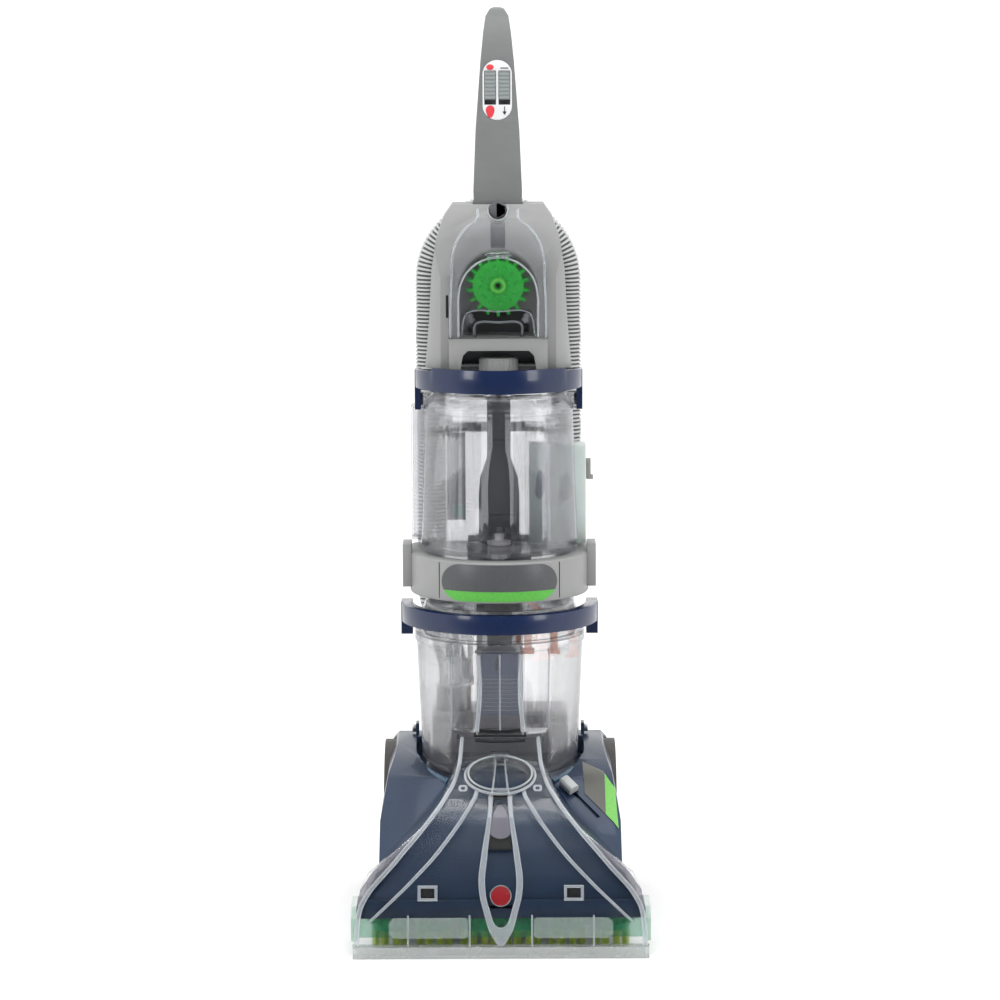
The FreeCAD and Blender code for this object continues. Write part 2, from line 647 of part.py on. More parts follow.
def tank_cap():
    """Screw cap with grip flutes."""
    cap = rod(24.5, vec(0, -8, 687), vec(0, -8, 710))
    cap = join(cap, rod(22.5, vec(0, -8, 710), vec(0, -8, 711.5)))
    cap = cap.cut(rod(20.4, vec(0, -8, 680), vec(0, -8, 706)))
    cap = cap.cut(rod(22, vec(0, -8, 680), vec(0, -8, 687.5)))
    plug = ring(16.4, 13, vec(0, -8, 690), vec(0, -8, 706.5))
    cap = cap.fuse(plug)
    for flute in range(20):
        angle = math.pi * flute / 10
        groove = rod(1.6, vec(25.2 * math.cos(angle), -8 + 25.2 * math.sin(angle), 690),
                     vec(25.2 * math.cos(angle), -8 + 25.2 * math.sin(angle), 712))
        cap = cap.cut(groove)
    return cap


def clean_bail():
    """The upper bail: its arms rise from low pivots to a bar held in front of the tank top."""
    hoop = d_loft([(671, 105.5, 80), (700, 105.5, 80)]).cut(d_loft([(670, 97.5, 80), (701, 97.5, 80)]))
    hoop = hoop.common(box(-110, 110, -75, 52, 670, 701))
    # The rear ends stay under the upper housing.
    hoop = hoop.cut(side_prism([(-30, 702), (60, 702), (60, 692), (-24, 695.5)], -110, 110))
    pad = box(97.9, 105.5, 26, 52, 642, 692)
    shape = join(hoop, pad, mirror_x(pad))
    bosses = pair(rod(8, vec(95.2, TANK_Y, 654), vec(98, TANK_Y, 654))).Solids
    shape = join(shape, *bosses)
    return shape.cut(rod(5 + RUN_FIT, vec(-99.8, TANK_Y, 654), vec(99.8, TANK_Y, 654)))


def detergent_bottle():
    outer = box(38.5, 110.5, 60.5, 97.5, 465.4, 592)
    neck = join(outer, rod(14, vec(75, 79, 592), vec(75, 79, 598)))
    inner = box(41, 108, 63, 95, 468, 589.5)
    return neck.cut(inner).cut(rod(11, vec(75, 79, 585), vec(75, 79, 600)))


def detergent_cap():
    cap = rod(16.5, vec(75, 79, 598.2), vec(75, 79, 612))
    return join(cap, rod(10.6, vec(75, 79, 592), vec(75, 79, 598.2)))


# ---------------------------------------------------------------- upper housing
def upper_housing():
    outline = both_halves([(92, 697), (90, 715), (86, 762), (83, 820), (77, 858), (68, 884), (57, 900)])
    side = [(-22, 697), (-22, 812), (-8, 862), (18, 900), (74, 900), (104, 850), (104, 697)]
    outer = side_prism(side, -100, 100).common(front_prism(outline, -30, 110))
    outer = outer.common(d_loft([(690, 93.5, 106), (905, 93.5, 106)], 8))
    inner_outline = both_halves([(88.5, 696), (86.5, 715), (82.5, 762), (79.5, 820), (73.5, 857), (66, 880),
                                 (55, 896)])
    inner_side = [(-18.5, 696), (-18.5, 812), (-5, 860), (20, 896), (72, 896), (100.5, 848), (100.5, 696)]
    inner = side_prism(inner_side, -100, 100).common(front_prism(inner_outline, -30, 110))
    inner = inner.common(d_loft([(690, 90.5, 103), (905, 90.5, 103)], 8))
    floor = box(-90, 90, 20, 103, 697, 700)
    shape = join(outer.cut(inner), floor)
    # Shelf and apron under the tool caddy.
    apron = box(-61, 61, -36, -18, 697, 737).cut(box(-57, 57, -32.5, -15, 690, 729))
    shape = join(shape, apron)
    mouth = front_prism(both_halves([(47, 690), (47, 700), (44, 716), (38, 722)]), -40, -14)
    shape = shape.cut(mouth)
    # Recess for the hand tool, lined by its own back wall.
    recess = join(box(-50, 50, -40, 10, 739, 800), rod(50, vec(0, -40, 795), vec(0, 10, 795)))
    lining = join(box(-53, 53, -20, 13, 736, 800), rod(53, vec(0, -20, 795), vec(0, 13, 795)))
    shape = join(shape, lining).cut(recess)
    # Socket for the handle root and its bolt.
    socket = box(-31.2, 31.2, 24, 72, 862, 905)
    wall = box(-34, 34, 14, 75, 860, 899)
    wall = wall.common(side_prism(side, -40, 40))
    shape = join(shape, wall).cut(socket)
    shape = shape.cut(rod(11.2, vec(0, -10, 893), vec(0, 18, 893)).fuse(rod(5, vec(0, 10, 893), vec(0, 60, 893))))
    return shape.cut(box(-12, 12, -20, 14, 893, 905))


def arch(radius, foot, centre_z, y0, y1):
    """Panel with a straight lower part and a round top."""
    return join(box(-radius, radius, y0, y1, foot, centre_z),
                rod(radius, vec(0, y0, centre_z), vec(0, y1, centre_z)))


COVER_FRONT = [(62, 737.3), (60, 805), (58, 847), (42, 868), (26, 885)]


def caddy_cover():
    outer = front_prism(both_halves(COVER_FRONT), -39, -22.1)
    upper = side_prism([(-39, 737), (-39, 830), (-24, 886), (-20, 886), (-20, 737)], -70, 70)
    inner = front_prism(both_halves([(59.6, 730), (57.6, 805), (55.6, 846), (40.5, 866), (25, 882)]), -36.5, -21)
    inner_side = side_prism([(-36.5, 730), (-36.5, 829), (-22, 883), (-10, 883), (-10, 730)], -70, 70)
    cover = outer.common(upper).cut(inner.common(inner_side))
    cover = cover.cut(slope_above())
    cover = cover.cut(arch(51.5, 730, 789, -45, -33))
    brackets = pair(box(16, 20, -42, -34.5, 838, 847)).Solids
    pin = rod(1.6, vec(-20, -40, 842), vec(20, -40, 842))
    return join(cover, pin, *brackets)


def slope_above():
    """Space behind the sloping upper part of the cover, taken up by the housing's shoulder."""
    return side_prism([(-22, 812), (-8, 862), (18, 900), (18, 812)], -75, 75)


def tool_door():
    panel = arch(50, 738, 789, -39, -37)
    shape = join(panel, box(-14, 14, -41, -37.5, 836, 840.5), rod(3.4, vec(-14, -40, 842), vec(14, -40, 842)))
    shape = shape.cut(rod(1.6 + RUN_FIT, vec(-21, -40, 842), vec(21, -40, 842)))
    pull = front_prism([(-12, 739.5), (12, 739.5), (10, 746), (-10, 746)], -43, -39)
    return join(shape, pull)


def tool_bracket():
    plate = box(-38, 38, 2, 6, 742, 768)
    stand = pair(box(30, 36, 6, 10, 746, 764)).Solids
    pin_boss = rod(8, vec(0, 2, 801), vec(0, 10, 801))
    pin = rod(3, vec(0, -12, 801), vec(0, 2, 801))
    web = box(-8, 8, 2, 6, 766, 801)
    clip = box(-31, 31, -26, -22, 739.2, 758).cut(box(-27, 27, -27, -20, 730, 754))
    clip_arms = pair(box(27, 31, -26, 2, 744, 750)).Solids
    shape = join(plate, pin_boss, pin, web, clip, *stand)
    return join(shape, *clip_arms)


def nub(height, root_r, tip_r, start, out, turn):
    """Blunt rubber spike at start, pointing along out, turned about the brush axis."""
    spike = Part.makeCone(root_r, tip_r, height, start, out)
    spike.rotate(vec(0, 0, 0), vec(0, 0, 1), turn)
    return spike


def hand_tool_brush():
    """Round spiky brush, drawn standing on its back face and then turned to face forwards."""
    nubs = []
    for step in range(18):
        for z in (4.0, 12.5):
            nubs.append(nub(16, 3.1, 1.7, vec(22, 0, z), vec(1, 0, 0), 20 * (step + 0.5)))
    for radius, count in ((12, 6), (22, 12)):
        for step in range(count):
            nubs.append(nub(3.8, 2.6, 1.6, vec(radius, 0, 15.5), vec(0, 0, 1), 360 * (step + 0.25) / count))
    brush_head = rod(31, vec(0, 0, 0), vec(0, 0, 16)).multiFuse(nubs)
    brush_head = brush_head.cut(rod(3 + RUN_FIT, vec(0, 0, -2), vec(0, 0, 18)))
    return placed(brush_head, vec(0, 0, 801), 90)


# ---------------------------------------------------------------- accessory hose
def arc_corners(centre_z, y0, y1, start_deg):
    """Corners of a half circle of the hose about (0, centre_z), drifting from y0 to y1."""
    reach = HOSE_LEG_X / math.cos(math.radians(22.5))
    corners = []
    for step in range(4):
        angle = math.radians(start_deg + 45 * step + 22.5)
        corners.append(vec(reach * math.cos(angle), y0 + (y1 - y0) * step / 3,
                           centre_z + reach * math.sin(angle)))
    return corners


def hose_route():
    start = vec(-60, HOSE_FRONT_Y + 12, 236.5)
    over_front = list(reversed(arc_corners(HOSE_ARCH_Z, HOSE_FRONT_Y, HOSE_FRONT_Y, 0)))
    under = [vec(-p.x, p.y, p.z) for p in arc_corners(HOSE_BEND_Z, HOSE_FRONT_Y, HOSE_REAR_Y, 180)]
    over_rear = list(reversed(arc_corners(HOSE_ARCH_Z, HOSE_REAR_Y, HOSE_REAR_Y, 0)))
    end = vec(HOSE_LEG_X, HOSE_REAR_Y, 520)
    return [start, vec(-60, HOSE_FRONT_Y + 12, 300), vec(-HOSE_LEG_X, HOSE_FRONT_Y, 385)] \
        + over_front + under + over_rear + [end]


def accessory_hose():
    route = hose_route()
    path = smooth_path(route, HOSE_LEG_X)
    first = route[1].sub(route[0])
    skins = []
    for radius in (HOSE_R, HOSE_R - HOSE_WALL):
        circle = Part.Wire([Part.makeCircle(radius, route[0], first)])
        skins.append(path.makePipeShell([circle], True, False))
    print("hose length mm", round(path.Length))
    return skins[0].cut(skins[1])


def hose_cuffs():
    low = ring(22.5, HOSE_R, vec(-60, HOSE_FRONT_Y + 12, 236.5), vec(-60, HOSE_FRONT_Y + 12, 270))
    high = ring(22, HOSE_R, vec(HOSE_LEG_X, HOSE_REAR_Y, 520), vec(HOSE_LEG_X, HOSE_REAR_Y, 560))
    spigot = ring(HOSE_R, 15.5, vec(HOSE_LEG_X, HOSE_REAR_Y, 474), vec(HOSE_LEG_X, HOSE_REAR_Y, 519.9))
    collar = ring(22, 15.5, vec(HOSE_LEG_X, HOSE_REAR_Y, 508), vec(HOSE_LEG_X, HOSE_REAR_Y, 520))
    return Part.makeCompound([low, join(high, collar, spigot)])


def storage_hooks():
    """Combs that hold the two hose layers, the cord wrap hooks and the side hook."""
    between = (HOSE_FRONT_Y + HOSE_R + 1.2, HOSE_REAR_Y - HOSE_R - 1.2)
    behind = (HOSE_REAR_Y + HOSE_R + 0.8, HOSE_REAR_Y + HOSE_R + 4)
    pieces = []
    for side in (-1, 1):
        for z0, z1, root in ((715, 733, box(60, 67, 104, behind[1], 715, 733)),
                             (596, 616, join(box(13, 67, 138, 150, 600, 612), box(60, 67, 138, behind[1], 596, 616)))):
            comb = join(root, box(60, 106, between[0], between[1], z0, z1),
                        box(60, 104, behind[0], behind[1], z0, z1))
            pieces.append(comb if side > 0 else mirror_x(comb))
    hook = join(box(-9, 9, 82, 212, 904, 912), box(-9, 9, 206, 212, 904, 934),
                side_prism([(82, 886.67), (94, 866.67), (94, 912), (82, 912)], -9, 9))
    low_hook = join(box(-60, -44, 188.5, 222, 206, 213), box(-60, -44, 216, 222, 186, 213))
    side_hook = join(box(106, 118, 112, 118, 560, 568), box(112, 118, 112, 118, 541, 568),
                     box(112, 121, 112, 118, 541, 547))
    return pieces, hook, low_hook, side_hook


# ---------------------------------------------------------------- handle
HANDLE_FRONT_OUTLINE = [(29.5, 864), (30.5, 916), (27.5, 990), (21, 1077), (17.5, 1112), (14.5, 1132),
                        (9, 1141), (4, HEIGHT)]
HANDLE_SIDE = [(26, 870), (26, 905), (31, 940), (45, 1000), (57, 1040), (68, 1077), (84, 1115), (104, 1138),
               (124, 1143), (143, 1134), (155, 1108), (152, 1060), (135, 1000), (110, 945), (80, 915),
               (70, 895), (68, 870)]
GRIP_HOLE = [(58, 958), (69, 1005), (84, 1055), (98, 1088), (114, 1104), (124, 1096), (124, 1066),
             (111, 1013), (92, 968), (72, 946)]
PLATE_LEAN = 16.2
PLATE_CENTRE = vec(0, 59.1, 1040)


def handle_body():
    solid = spline_face(HANDLE_SIDE, -35).extrude(vec(70, 0, 0))
    solid = solid.common(front_prism(both_halves(HANDLE_FRONT_OUTLINE), 0, 170))
    hole = spline_face(GRIP_HOLE, -35).extrude(vec(70, 0, 0))
    solid = solid.cut(hole).common(box(-40, 40, 24.5, 170, 864, HEIGHT))
    return solid


def handle():
    body = handle_body()
    body = body.cut(placed(stadium(37.6, 77.6, 12), PLATE_CENTRE, -PLATE_LEAN))
    body = body.cut(placed(box(-17, 17, -6, 9, -26, 26), PLATE_CENTRE, -PLATE_LEAN))
    body = body.cut(box(-7, 7, 100, 143, 1034, 1097))
    stem_room = side_prism([(33, 860), (33, 905), (38, 940), (51, 996), (60, 996), (51, 955), (60, 934),
                            (80, 930), (66, 905), (61, 860)], -22, 22)
    body = body.cut(stem_room)
    body = body.cut(rod(2.6, vec(-12, 133, 1091), vec(12, 133, 1091)))
    body = body.cut(rod(5, vec(0, 10, 893), vec(0, 55, 893)))
    return body


def handle_bolt():
    head = rod(10.6, vec(0, 14.5, 893), vec(0, 18, 893))
    slot = box(-1, 1, 13, 15.8, 885, 901)
    shank = rod(4.94, vec(0, 18, 893), vec(0, 54, 893))
    return join(head, shank).cut(slot)


def switch_plate():
    plate = stadium(37, 77, 3)
    windows = join(box(-16.2, -1.6, -5, 2, -19, 25), box(1.6, 16.2, -5, 2, -19, 25))
    return placed(plate.cut(windows), PLATE_CENTRE, -PLATE_LEAN)


def switch(side):
    slab = box(-6.7, 6.7, -4.6, 3, -12, 24.4)
    for rib in range(7):
        z = -9 + rib * 5.0
        slab = slab.cut(box(-7, 7, -5, -3.6, z, z + 2.2))
    slab.translate(vec(side * 8.9, 0, 0))
    return placed(slab, PLATE_CENTRE, -PLATE_LEAN)


def trigger():
    side = [(117, 1040), (112.5, 1050), (115, 1070), (119, 1090), (129, 1094.5), (136.5, 1091), (130, 1072),
            (124, 1050)]
    lever = side_prism(side, -6.2, 6.2)
    pin = rod(2.5, vec(-11, 133, 1091), vec(11, 133, 1091))
    eye = rod(4.5, vec(-6.2, 133, 1091), vec(6.2, 133, 1091))
    return join(lever, eye, pin)


def housing_screws():
    screws = []
    for x in (-80, 80):
        for z in (92, 228):
            screws.append(rod(3.2, vec(x, 188.5, z), vec(x, 190.3, z)))
    for x in (-33, 33):
        screws.append(rod(4, vec(x, 0.2, 757), vec(x, 2, 757)))
    return Part.makeCompound(screws)


# ---------------------------------------------------------------- write the parts
def build():
    shapes = {
        "base_housing": base_housing(),
        "base_plate": base_plate(),
        "base_pins": base_pins(),
        "wheel_left": wheel(-1),
        "wheel_right": wheel(1),
        "speed_label": speed_label(),
        "speed_lever": speed_lever(),
        "recline_pedal": recline_pedal(),
        "brush_block": brush_block(),
        "drive_gear": drive_gear(),
        "brush_motor": brush_motor(),
        "nozzle_hood": nozzle_hood(),
        "suction_lip": suction_lip(),
        "port_cap": port_cap(),
        "badge": badge(),
        "recovery_tank": recovery_tank(),
        "recovery_lid": recovery_lid(),
        "recovery_gasket": recovery_gasket(),
        "float_cage": float_cage(),
        "recovery_float": recovery_float(),
        "lid_clips": lid_clips(),
        "recovery_bail": recovery_bail(),
        "motor_housing": motor_housing(),
        "rear_cover": rear_cover(),
        "cord_inlet": cord_inlet(),
        "suction_motor": suction_motor(),
        "motor_fan": motor_fan(),
        "pump": pump(),
        "column_spine": column_spine(),
        "air_duct": air_duct(),
        "tank_cradle": tank_cradle(),
        "cradle_label": cradle_label(),
        "clean_tank": clean_tank(),
        "tank_valve": tank_valve(),
        "tank_cap": tank_cap(),
        "clean_bail": clean_bail(),
        "detergent_bottle": detergent_bottle(),
        "detergent_cap": detergent_cap(),
        "upper_housing": upper_housing(),
        "caddy_cover": caddy_cover(),
        "tool_door": tool_door(),
        "tool_bracket": tool_bracket(),
        "hand_tool_brush": hand_tool_brush(),
        "accessory_hose": accessory_hose(),
        "hose_cuffs": hose_cuffs(),
        "handle": handle(),
        "handle_bolt": handle_bolt(),
        "switch_plate": switch_plate(),
        "power_switch": switch(-1),
        "rinse_switch": switch(1),
        "trigger": trigger(),
        "housing_screws": housing_screws(),
    }
    combs, hook, low_hook, side_hook = storage_hooks()
    shapes["hose_hooks"] = Part.makeCompound(combs + [side_hook])
    shapes["cord_hooks"] = Part.makeCompound([hook, low_hook])
    for index in range(BRUSH_COUNT):
        shapes["brush_%d" % (index + 1)] = brush(index)
    return shapes


os.makedirs("parts", exist_ok=True)
for name, shape in build().items():
    if not shape.isValid() or not shape.Solids:
        print("CHECK", name, shape.isValid(), len(shape.Solids))
    print(name, len(shape.Solids), round(shape.Volume / 1000, 1), "cm3")
    shape.exportStep("parts/%s.step" % name)
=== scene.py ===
"""Upright carpet washer: finishes, fine parts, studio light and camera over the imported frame."""
import json
import math
import random

import bpy
from mathutils import Matrix, Vector


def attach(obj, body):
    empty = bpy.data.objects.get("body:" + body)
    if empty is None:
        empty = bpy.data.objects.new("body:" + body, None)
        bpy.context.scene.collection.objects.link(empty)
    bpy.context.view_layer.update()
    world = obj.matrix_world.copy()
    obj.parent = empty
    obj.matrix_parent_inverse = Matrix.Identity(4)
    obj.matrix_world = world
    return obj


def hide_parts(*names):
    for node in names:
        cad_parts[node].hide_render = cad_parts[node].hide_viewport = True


MM = 0.001

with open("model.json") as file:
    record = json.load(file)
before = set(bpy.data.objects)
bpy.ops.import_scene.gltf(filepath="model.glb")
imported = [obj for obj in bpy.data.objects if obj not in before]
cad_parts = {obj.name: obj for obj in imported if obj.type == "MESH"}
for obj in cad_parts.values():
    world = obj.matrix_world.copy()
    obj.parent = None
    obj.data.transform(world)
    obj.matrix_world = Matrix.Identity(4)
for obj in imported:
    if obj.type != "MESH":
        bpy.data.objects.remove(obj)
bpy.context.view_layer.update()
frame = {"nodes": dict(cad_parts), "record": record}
BODY_OF = {node: body for body, names in frame["record"]["behaviour"]["bodies"].items() for node in names}


# Sockets of a colour Mix node: the share, the two colours and the result.
SHARE, FIRST, SECOND, BLEND = 0, 6, 7, 2
# Which side of the machine a mirrored piece is on.
HANDS = ((-1, "left"), (1, "right"))


# ---------------------------------------------------------------- shader tools
def linear(code):
    """The linear colour of an sRGB hex code."""
    parts = [int(code[i:i + 2], 16) / 255 for i in (0, 2, 4)]
    return (*[c / 12.92 if c <= 0.04045 else ((c + 0.055) / 1.055) ** 2.4 for c in parts], 1.0)


def add_node(tree, kind, values=None, **settings):
    """Adds one node. Values go on its inputs, and a socket among them becomes a link."""
    made = tree.nodes.new(kind)
    for key, value in settings.items():
        setattr(made, key, value)
    for key, value in (values or {}).items():
        if isinstance(value, bpy.types.NodeSocket):
            tree.links.new(value, made.inputs[key])
        else:
            made.inputs[key].default_value = value
    return made


def start_finish(name):
    """An empty material with its tree and the object coordinates in metres."""
    finish = bpy.data.materials.new(name)
    finish.use_nodes = True
    tree = finish.node_tree
    tree.nodes.clear()
    where = add_node(tree, "ShaderNodeTexCoord").outputs["Object"]
    return finish, tree, where


def end_finish(tree, values):
    """Closes a tree with one Principled shader on the output."""
    shader = add_node(tree, "ShaderNodeBsdfPrincipled", values)
    add_node(tree, "ShaderNodeOutputMaterial", {"Surface": shader.outputs[0]})


def moulded(name, low, high, roughness, grain=0.9, depth=0.05, drift=70.0, **more):
    """Injection-moulded plastic: shade drifting over the part, a fine spark-eroded grain, uneven gloss."""
    finish, tree, where = start_finish(name)
    cloud = add_node(tree, "ShaderNodeTexNoise", {"Vector": where, "Scale": 1 / (drift * MM), "Detail": 3.0})
    shade = add_node(tree, "ShaderNodeMix", {SHARE: cloud.outputs[0], FIRST: linear(low), SECOND: linear(high)},
                     data_type="RGBA")
    wear = add_node(tree, "ShaderNodeTexNoise", {"Vector": where, "Scale": 1 / (12 * MM), "Detail": 4.0})
    gloss = add_node(tree, "ShaderNodeMapRange", {"Value": wear.outputs[0], "From Min": 0.3, "From Max": 0.7,
                                                  "To Min": roughness - 0.05, "To Max": roughness + 0.07})
    grit = add_node(tree, "ShaderNodeTexNoise", {"Vector": where, "Scale": 1 / (grain * MM), "Detail": 2.0})
    bump = add_node(tree, "ShaderNodeBump", {"Height": grit.outputs[0], "Strength": 0.5,
                                             "Distance": depth * MM})
    values = {"Base Color": shade.outputs[BLEND], "Roughness": gloss.outputs[0], "Normal": bump.outputs[0]}
    values.update({key.replace("_", " "): value for key, value in more.items()})
    end_finish(tree, values)
    return finish


def see_through(name, centre, edge, thin, thick, roughness=0.03, ripple=0.25, spread=26.0, ior=1.49,
                through=1.0):
    """Clear moulding: pale across the wall, greyer where the wall is seen edge on, with soft flow ripples."""
    finish, tree, where = start_finish(name)
    facing = add_node(tree, "ShaderNodeLayerWeight", {"Blend": 0.42}).outputs["Facing"]
    tint = add_node(tree, "ShaderNodeMix", {SHARE: facing, FIRST: linear(centre), SECOND: linear(edge)},
                    data_type="RGBA")
    cover = add_node(tree, "ShaderNodeMapRange", {"Value": facing, "To Min": thin, "To Max": thick})
    flow = add_node(tree, "ShaderNodeTexNoise", {"Vector": where, "Scale": 1 / (spread * MM), "Detail": 2.0})
    bump = add_node(tree, "ShaderNodeBump", {"Height": flow.outputs[0], "Strength": 0.35,
                                             "Distance": ripple * MM})
    haze = add_node(tree, "ShaderNodeMapRange", {"Value": flow.outputs[0], "To Min": roughness,
                                                 "To Max": roughness * 2.2})
    end_finish(tree, {"Base Color": tint.outputs[BLEND], "Roughness": haze.outputs[0], "Normal": bump.outputs[0],
                      "Alpha": cover.outputs[0], "Transmission Weight": through, "IOR": ior})
    return finish


# ---------------------------------------------------------------- finishes
# ABS with aluminium flake under gloss: deep teal navy, fine sparkle, sharp highlights.
def flaked_abs():
    finish, tree, where = start_finish("abs_metal_flake_navy")
    cloud = add_node(tree, "ShaderNodeTexNoise", {"Vector": where, "Scale": 1 / (90 * MM), "Detail": 2.0})
    navy = add_node(tree, "ShaderNodeMix", {SHARE: cloud.outputs[0], FIRST: linear("0A1E36"), SECOND: linear("11304F")},
                    data_type="RGBA")
    # Flakes are 0.1 mm on the real part and drawn 0.7 mm to show.
    flake = add_node(tree, "ShaderNodeTexVoronoi", {"Vector": where, "Scale": 1 / (0.7 * MM)})
    bright = add_node(tree, "ShaderNodeMapRange", {"Value": flake.outputs["Color"], "From Min": 0.8,
                                                   "From Max": 1.0, "To Min": 0.0, "To Max": 0.35})
    base = add_node(tree, "ShaderNodeMix", {SHARE: bright.outputs[0], FIRST: navy.outputs[BLEND],
                                             SECOND: linear("3E5B74")},
                    data_type="RGBA")
    glint = add_node(tree, "ShaderNodeMapRange", {"Value": flake.outputs["Color"], "To Min": 0.26,
                                                  "To Max": 0.44})
    end_finish(tree, {"Base Color": base.outputs[BLEND], "Roughness": glint.outputs[0], "Metallic": 0.25,
                      "Specular IOR Level": 0.4, "Coat Weight": 0.35, "Coat Roughness": 0.1})
    return finish


def printed(name, ground, band, edge_axis, edge_at, band_below):
    """Satin printed film: a ground colour and one bright band, split at a place along an axis."""
    finish, tree, where = start_finish(name)
    axis = add_node(tree, "ShaderNodeSeparateXYZ", {0: where}).outputs[edge_axis]
    side = add_node(tree, "ShaderNodeMath", {0: axis, 1: edge_at * MM},
                    operation="LESS_THAN" if band_below else "GREATER_THAN")
    fleck = add_node(tree, "ShaderNodeTexNoise", {"Vector": where, "Scale": 1 / (3 * MM), "Detail": 3.0})
    dim = add_node(tree, "ShaderNodeMix", {SHARE: fleck.outputs[0], FIRST: linear(ground[0]),
                                            SECOND: linear(ground[1])},
                   data_type="RGBA")
    lit = add_node(tree, "ShaderNodeMix", {SHARE: fleck.outputs[0], FIRST: linear(band[0]), SECOND: linear(band[1])},
                   data_type="RGBA")
    both = add_node(tree, "ShaderNodeMix", {SHARE: side.outputs[0], FIRST: dim.outputs[BLEND],
                                             SECOND: lit.outputs[BLEND]},
                    data_type="RGBA")
    bump = add_node(tree, "ShaderNodeBump", {"Height": fleck.outputs[0], "Strength": 0.2,
                                             "Distance": 0.02 * MM})
    end_finish(tree, {"Base Color": both.outputs[BLEND], "Roughness": 0.34, "Normal": bump.outputs[0]})
    return finish


# The brush block's dark deck starts between these heights and ends this far out, in mm.
DECK_LOW, DECK_HIGH, DECK_HALF = 44.5, 46.5, 176


def deck_and_skirt():
    """Two-shot polypropylene: a dark deck above, clear green skirt and ends below."""
    finish, tree, where = start_finish("polypropylene_navy_deck_green_skirt")
    place = add_node(tree, "ShaderNodeSeparateXYZ", {0: where})
    above = add_node(tree, "ShaderNodeMapRange", {"Value": place.outputs["Z"], "From Min": DECK_LOW * MM,
                                                  "From Max": DECK_HIGH * MM})
    across = add_node(tree, "ShaderNodeMath", {0: place.outputs["X"]}, operation="ABSOLUTE")
    inside = add_node(tree, "ShaderNodeMath", {0: across.outputs[0], 1: DECK_HALF * MM}, operation="LESS_THAN")
    deck = add_node(tree, "ShaderNodeMath", {0: above.outputs[0], 1: inside.outputs[0]}, operation="MULTIPLY")
    thin_end = add_node(tree, "ShaderNodeMapRange", {"Value": above.outputs[0], "To Min": 0.42, "To Max": 0.14})
    flow = add_node(tree, "ShaderNodeTexNoise", {"Vector": where, "Scale": 1 / (22 * MM), "Detail": 2.0})
    green = add_node(tree, "ShaderNodeMix", {SHARE: flow.outputs[0], FIRST: linear("0E8C55"), SECOND: linear("38B37E")},
                     data_type="RGBA")
    tint = add_node(tree, "ShaderNodeMix", {SHARE: deck.outputs[0], FIRST: green.outputs[BLEND],
                                             SECOND: linear("0B1826")},
                    data_type="RGBA")
    cover = add_node(tree, "ShaderNodeMapRange", {"Value": deck.outputs[0], "To Min": thin_end.outputs[0],
                                                  "To Max": 1.0})
    clear = add_node(tree, "ShaderNodeMapRange", {"Value": deck.outputs[0], "To Min": 0.55, "To Max": 0.0})
    end_finish(tree, {"Base Color": tint.outputs[BLEND], "Alpha": cover.outputs[0], "Roughness": 0.24,
                      "Transmission Weight": clear.outputs[0], "IOR": 1.49})
    return finish


def hose_vinyl():
    """Flexible vinyl: pale ridges, and painted shade darkens the grooves between them."""
    finish, tree, where = start_finish("vinyl_hose_grey")
    rise = add_node(tree, "ShaderNodeAttribute", attribute_name="rise").outputs["Fac"]
    grime = add_node(tree, "ShaderNodeTexNoise", {"Vector": where, "Scale": 1 / (35 * MM), "Detail": 3.0})
    ridge = add_node(tree, "ShaderNodeMix", {SHARE: grime.outputs[0], FIRST: linear("B2B4B3"),
                                              SECOND: linear("C2C4C3")},
                     data_type="RGBA")
    # Painted shade: the grooves, where rise is 0, take a dark grey; the ridges take the pale grey.
    tone = add_node(tree, "ShaderNodeMix", {SHARE: rise, FIRST: linear("4E5050"), SECOND: ridge.outputs[BLEND]},
                    data_type="RGBA")
    gloss = add_node(tree, "ShaderNodeMapRange", {"Value": grime.outputs[0], "To Min": 0.36, "To Max": 0.5})
    end_finish(tree, {"Base Color": tone.outputs[BLEND], "Roughness": gloss.outputs[0]})
    return finish


def brushed_steel():
    """Turned steel pins and screws: fine rings of tool marks."""
    finish, tree, where = start_finish("turned_steel")
    stretch = add_node(tree, "ShaderNodeMapping", {"Vector": where, "Scale": (1.0, 0.08, 0.08)})
    marks = add_node(tree, "ShaderNodeTexNoise", {"Vector": stretch.outputs[0], "Scale": 1 / (0.6 * MM),
                                                  "Detail": 2.0})
    rough = add_node(tree, "ShaderNodeMapRange", {"Value": marks.outputs[0], "To Min": 0.24, "To Max": 0.42})
    tone = add_node(tree, "ShaderNodeMix", {SHARE: marks.outputs[0], FIRST: linear("A9ABAE"), SECOND: linear("C9CBCE")},
                    data_type="RGBA")
    end_finish(tree, {"Base Color": tone.outputs[BLEND], "Metallic": 1.0, "Roughness": rough.outputs[0]})
    return finish


NAVY = flaked_abs()
# Navy rim in the same plastic, painted a lighter navy where the tank sits in it: a painted highlight.
CRESCENT = moulded("abs_navy_painted_highlight", "2C4A63", "38586F", 0.3, grain=1.2, depth=0.03, Coat_Weight=0.4)
# Solid navy ABS from a polished tool: even colour and a crisp highlight along the bars.
BAIL = moulded("abs_navy_polished", "04183A", "06204A", 0.2, grain=3.0, depth=0.03, Coat_Weight=0.35)
# Silver-grey ABS, spark-eroded tool: a fine matt grain that spreads the light.
HOUSING = moulded("abs_silver_grey", "888988", "949594", 0.42, grain=0.8, depth=0.05)
# Satin mid-grey ABS of the handle, slightly darker and smoother.
HANDLE = moulded("abs_satin_grey", "696B6B", "747676", 0.38, grain=0.8, depth=0.04)
# Mid-dark ABS of the duct: the darkest upright shape behind the clear tank.
DUCT = moulded("abs_duct_grey", "56575A", "66676A", 0.35, grain=1.0, depth=0.05)
# Black matt nylon of brackets, hooks and inner parts: dull, with a coarse grain.
BLACK = moulded("nylon_black", "0C0D0E", "16181A", 0.5, grain=1.0, depth=0.08)
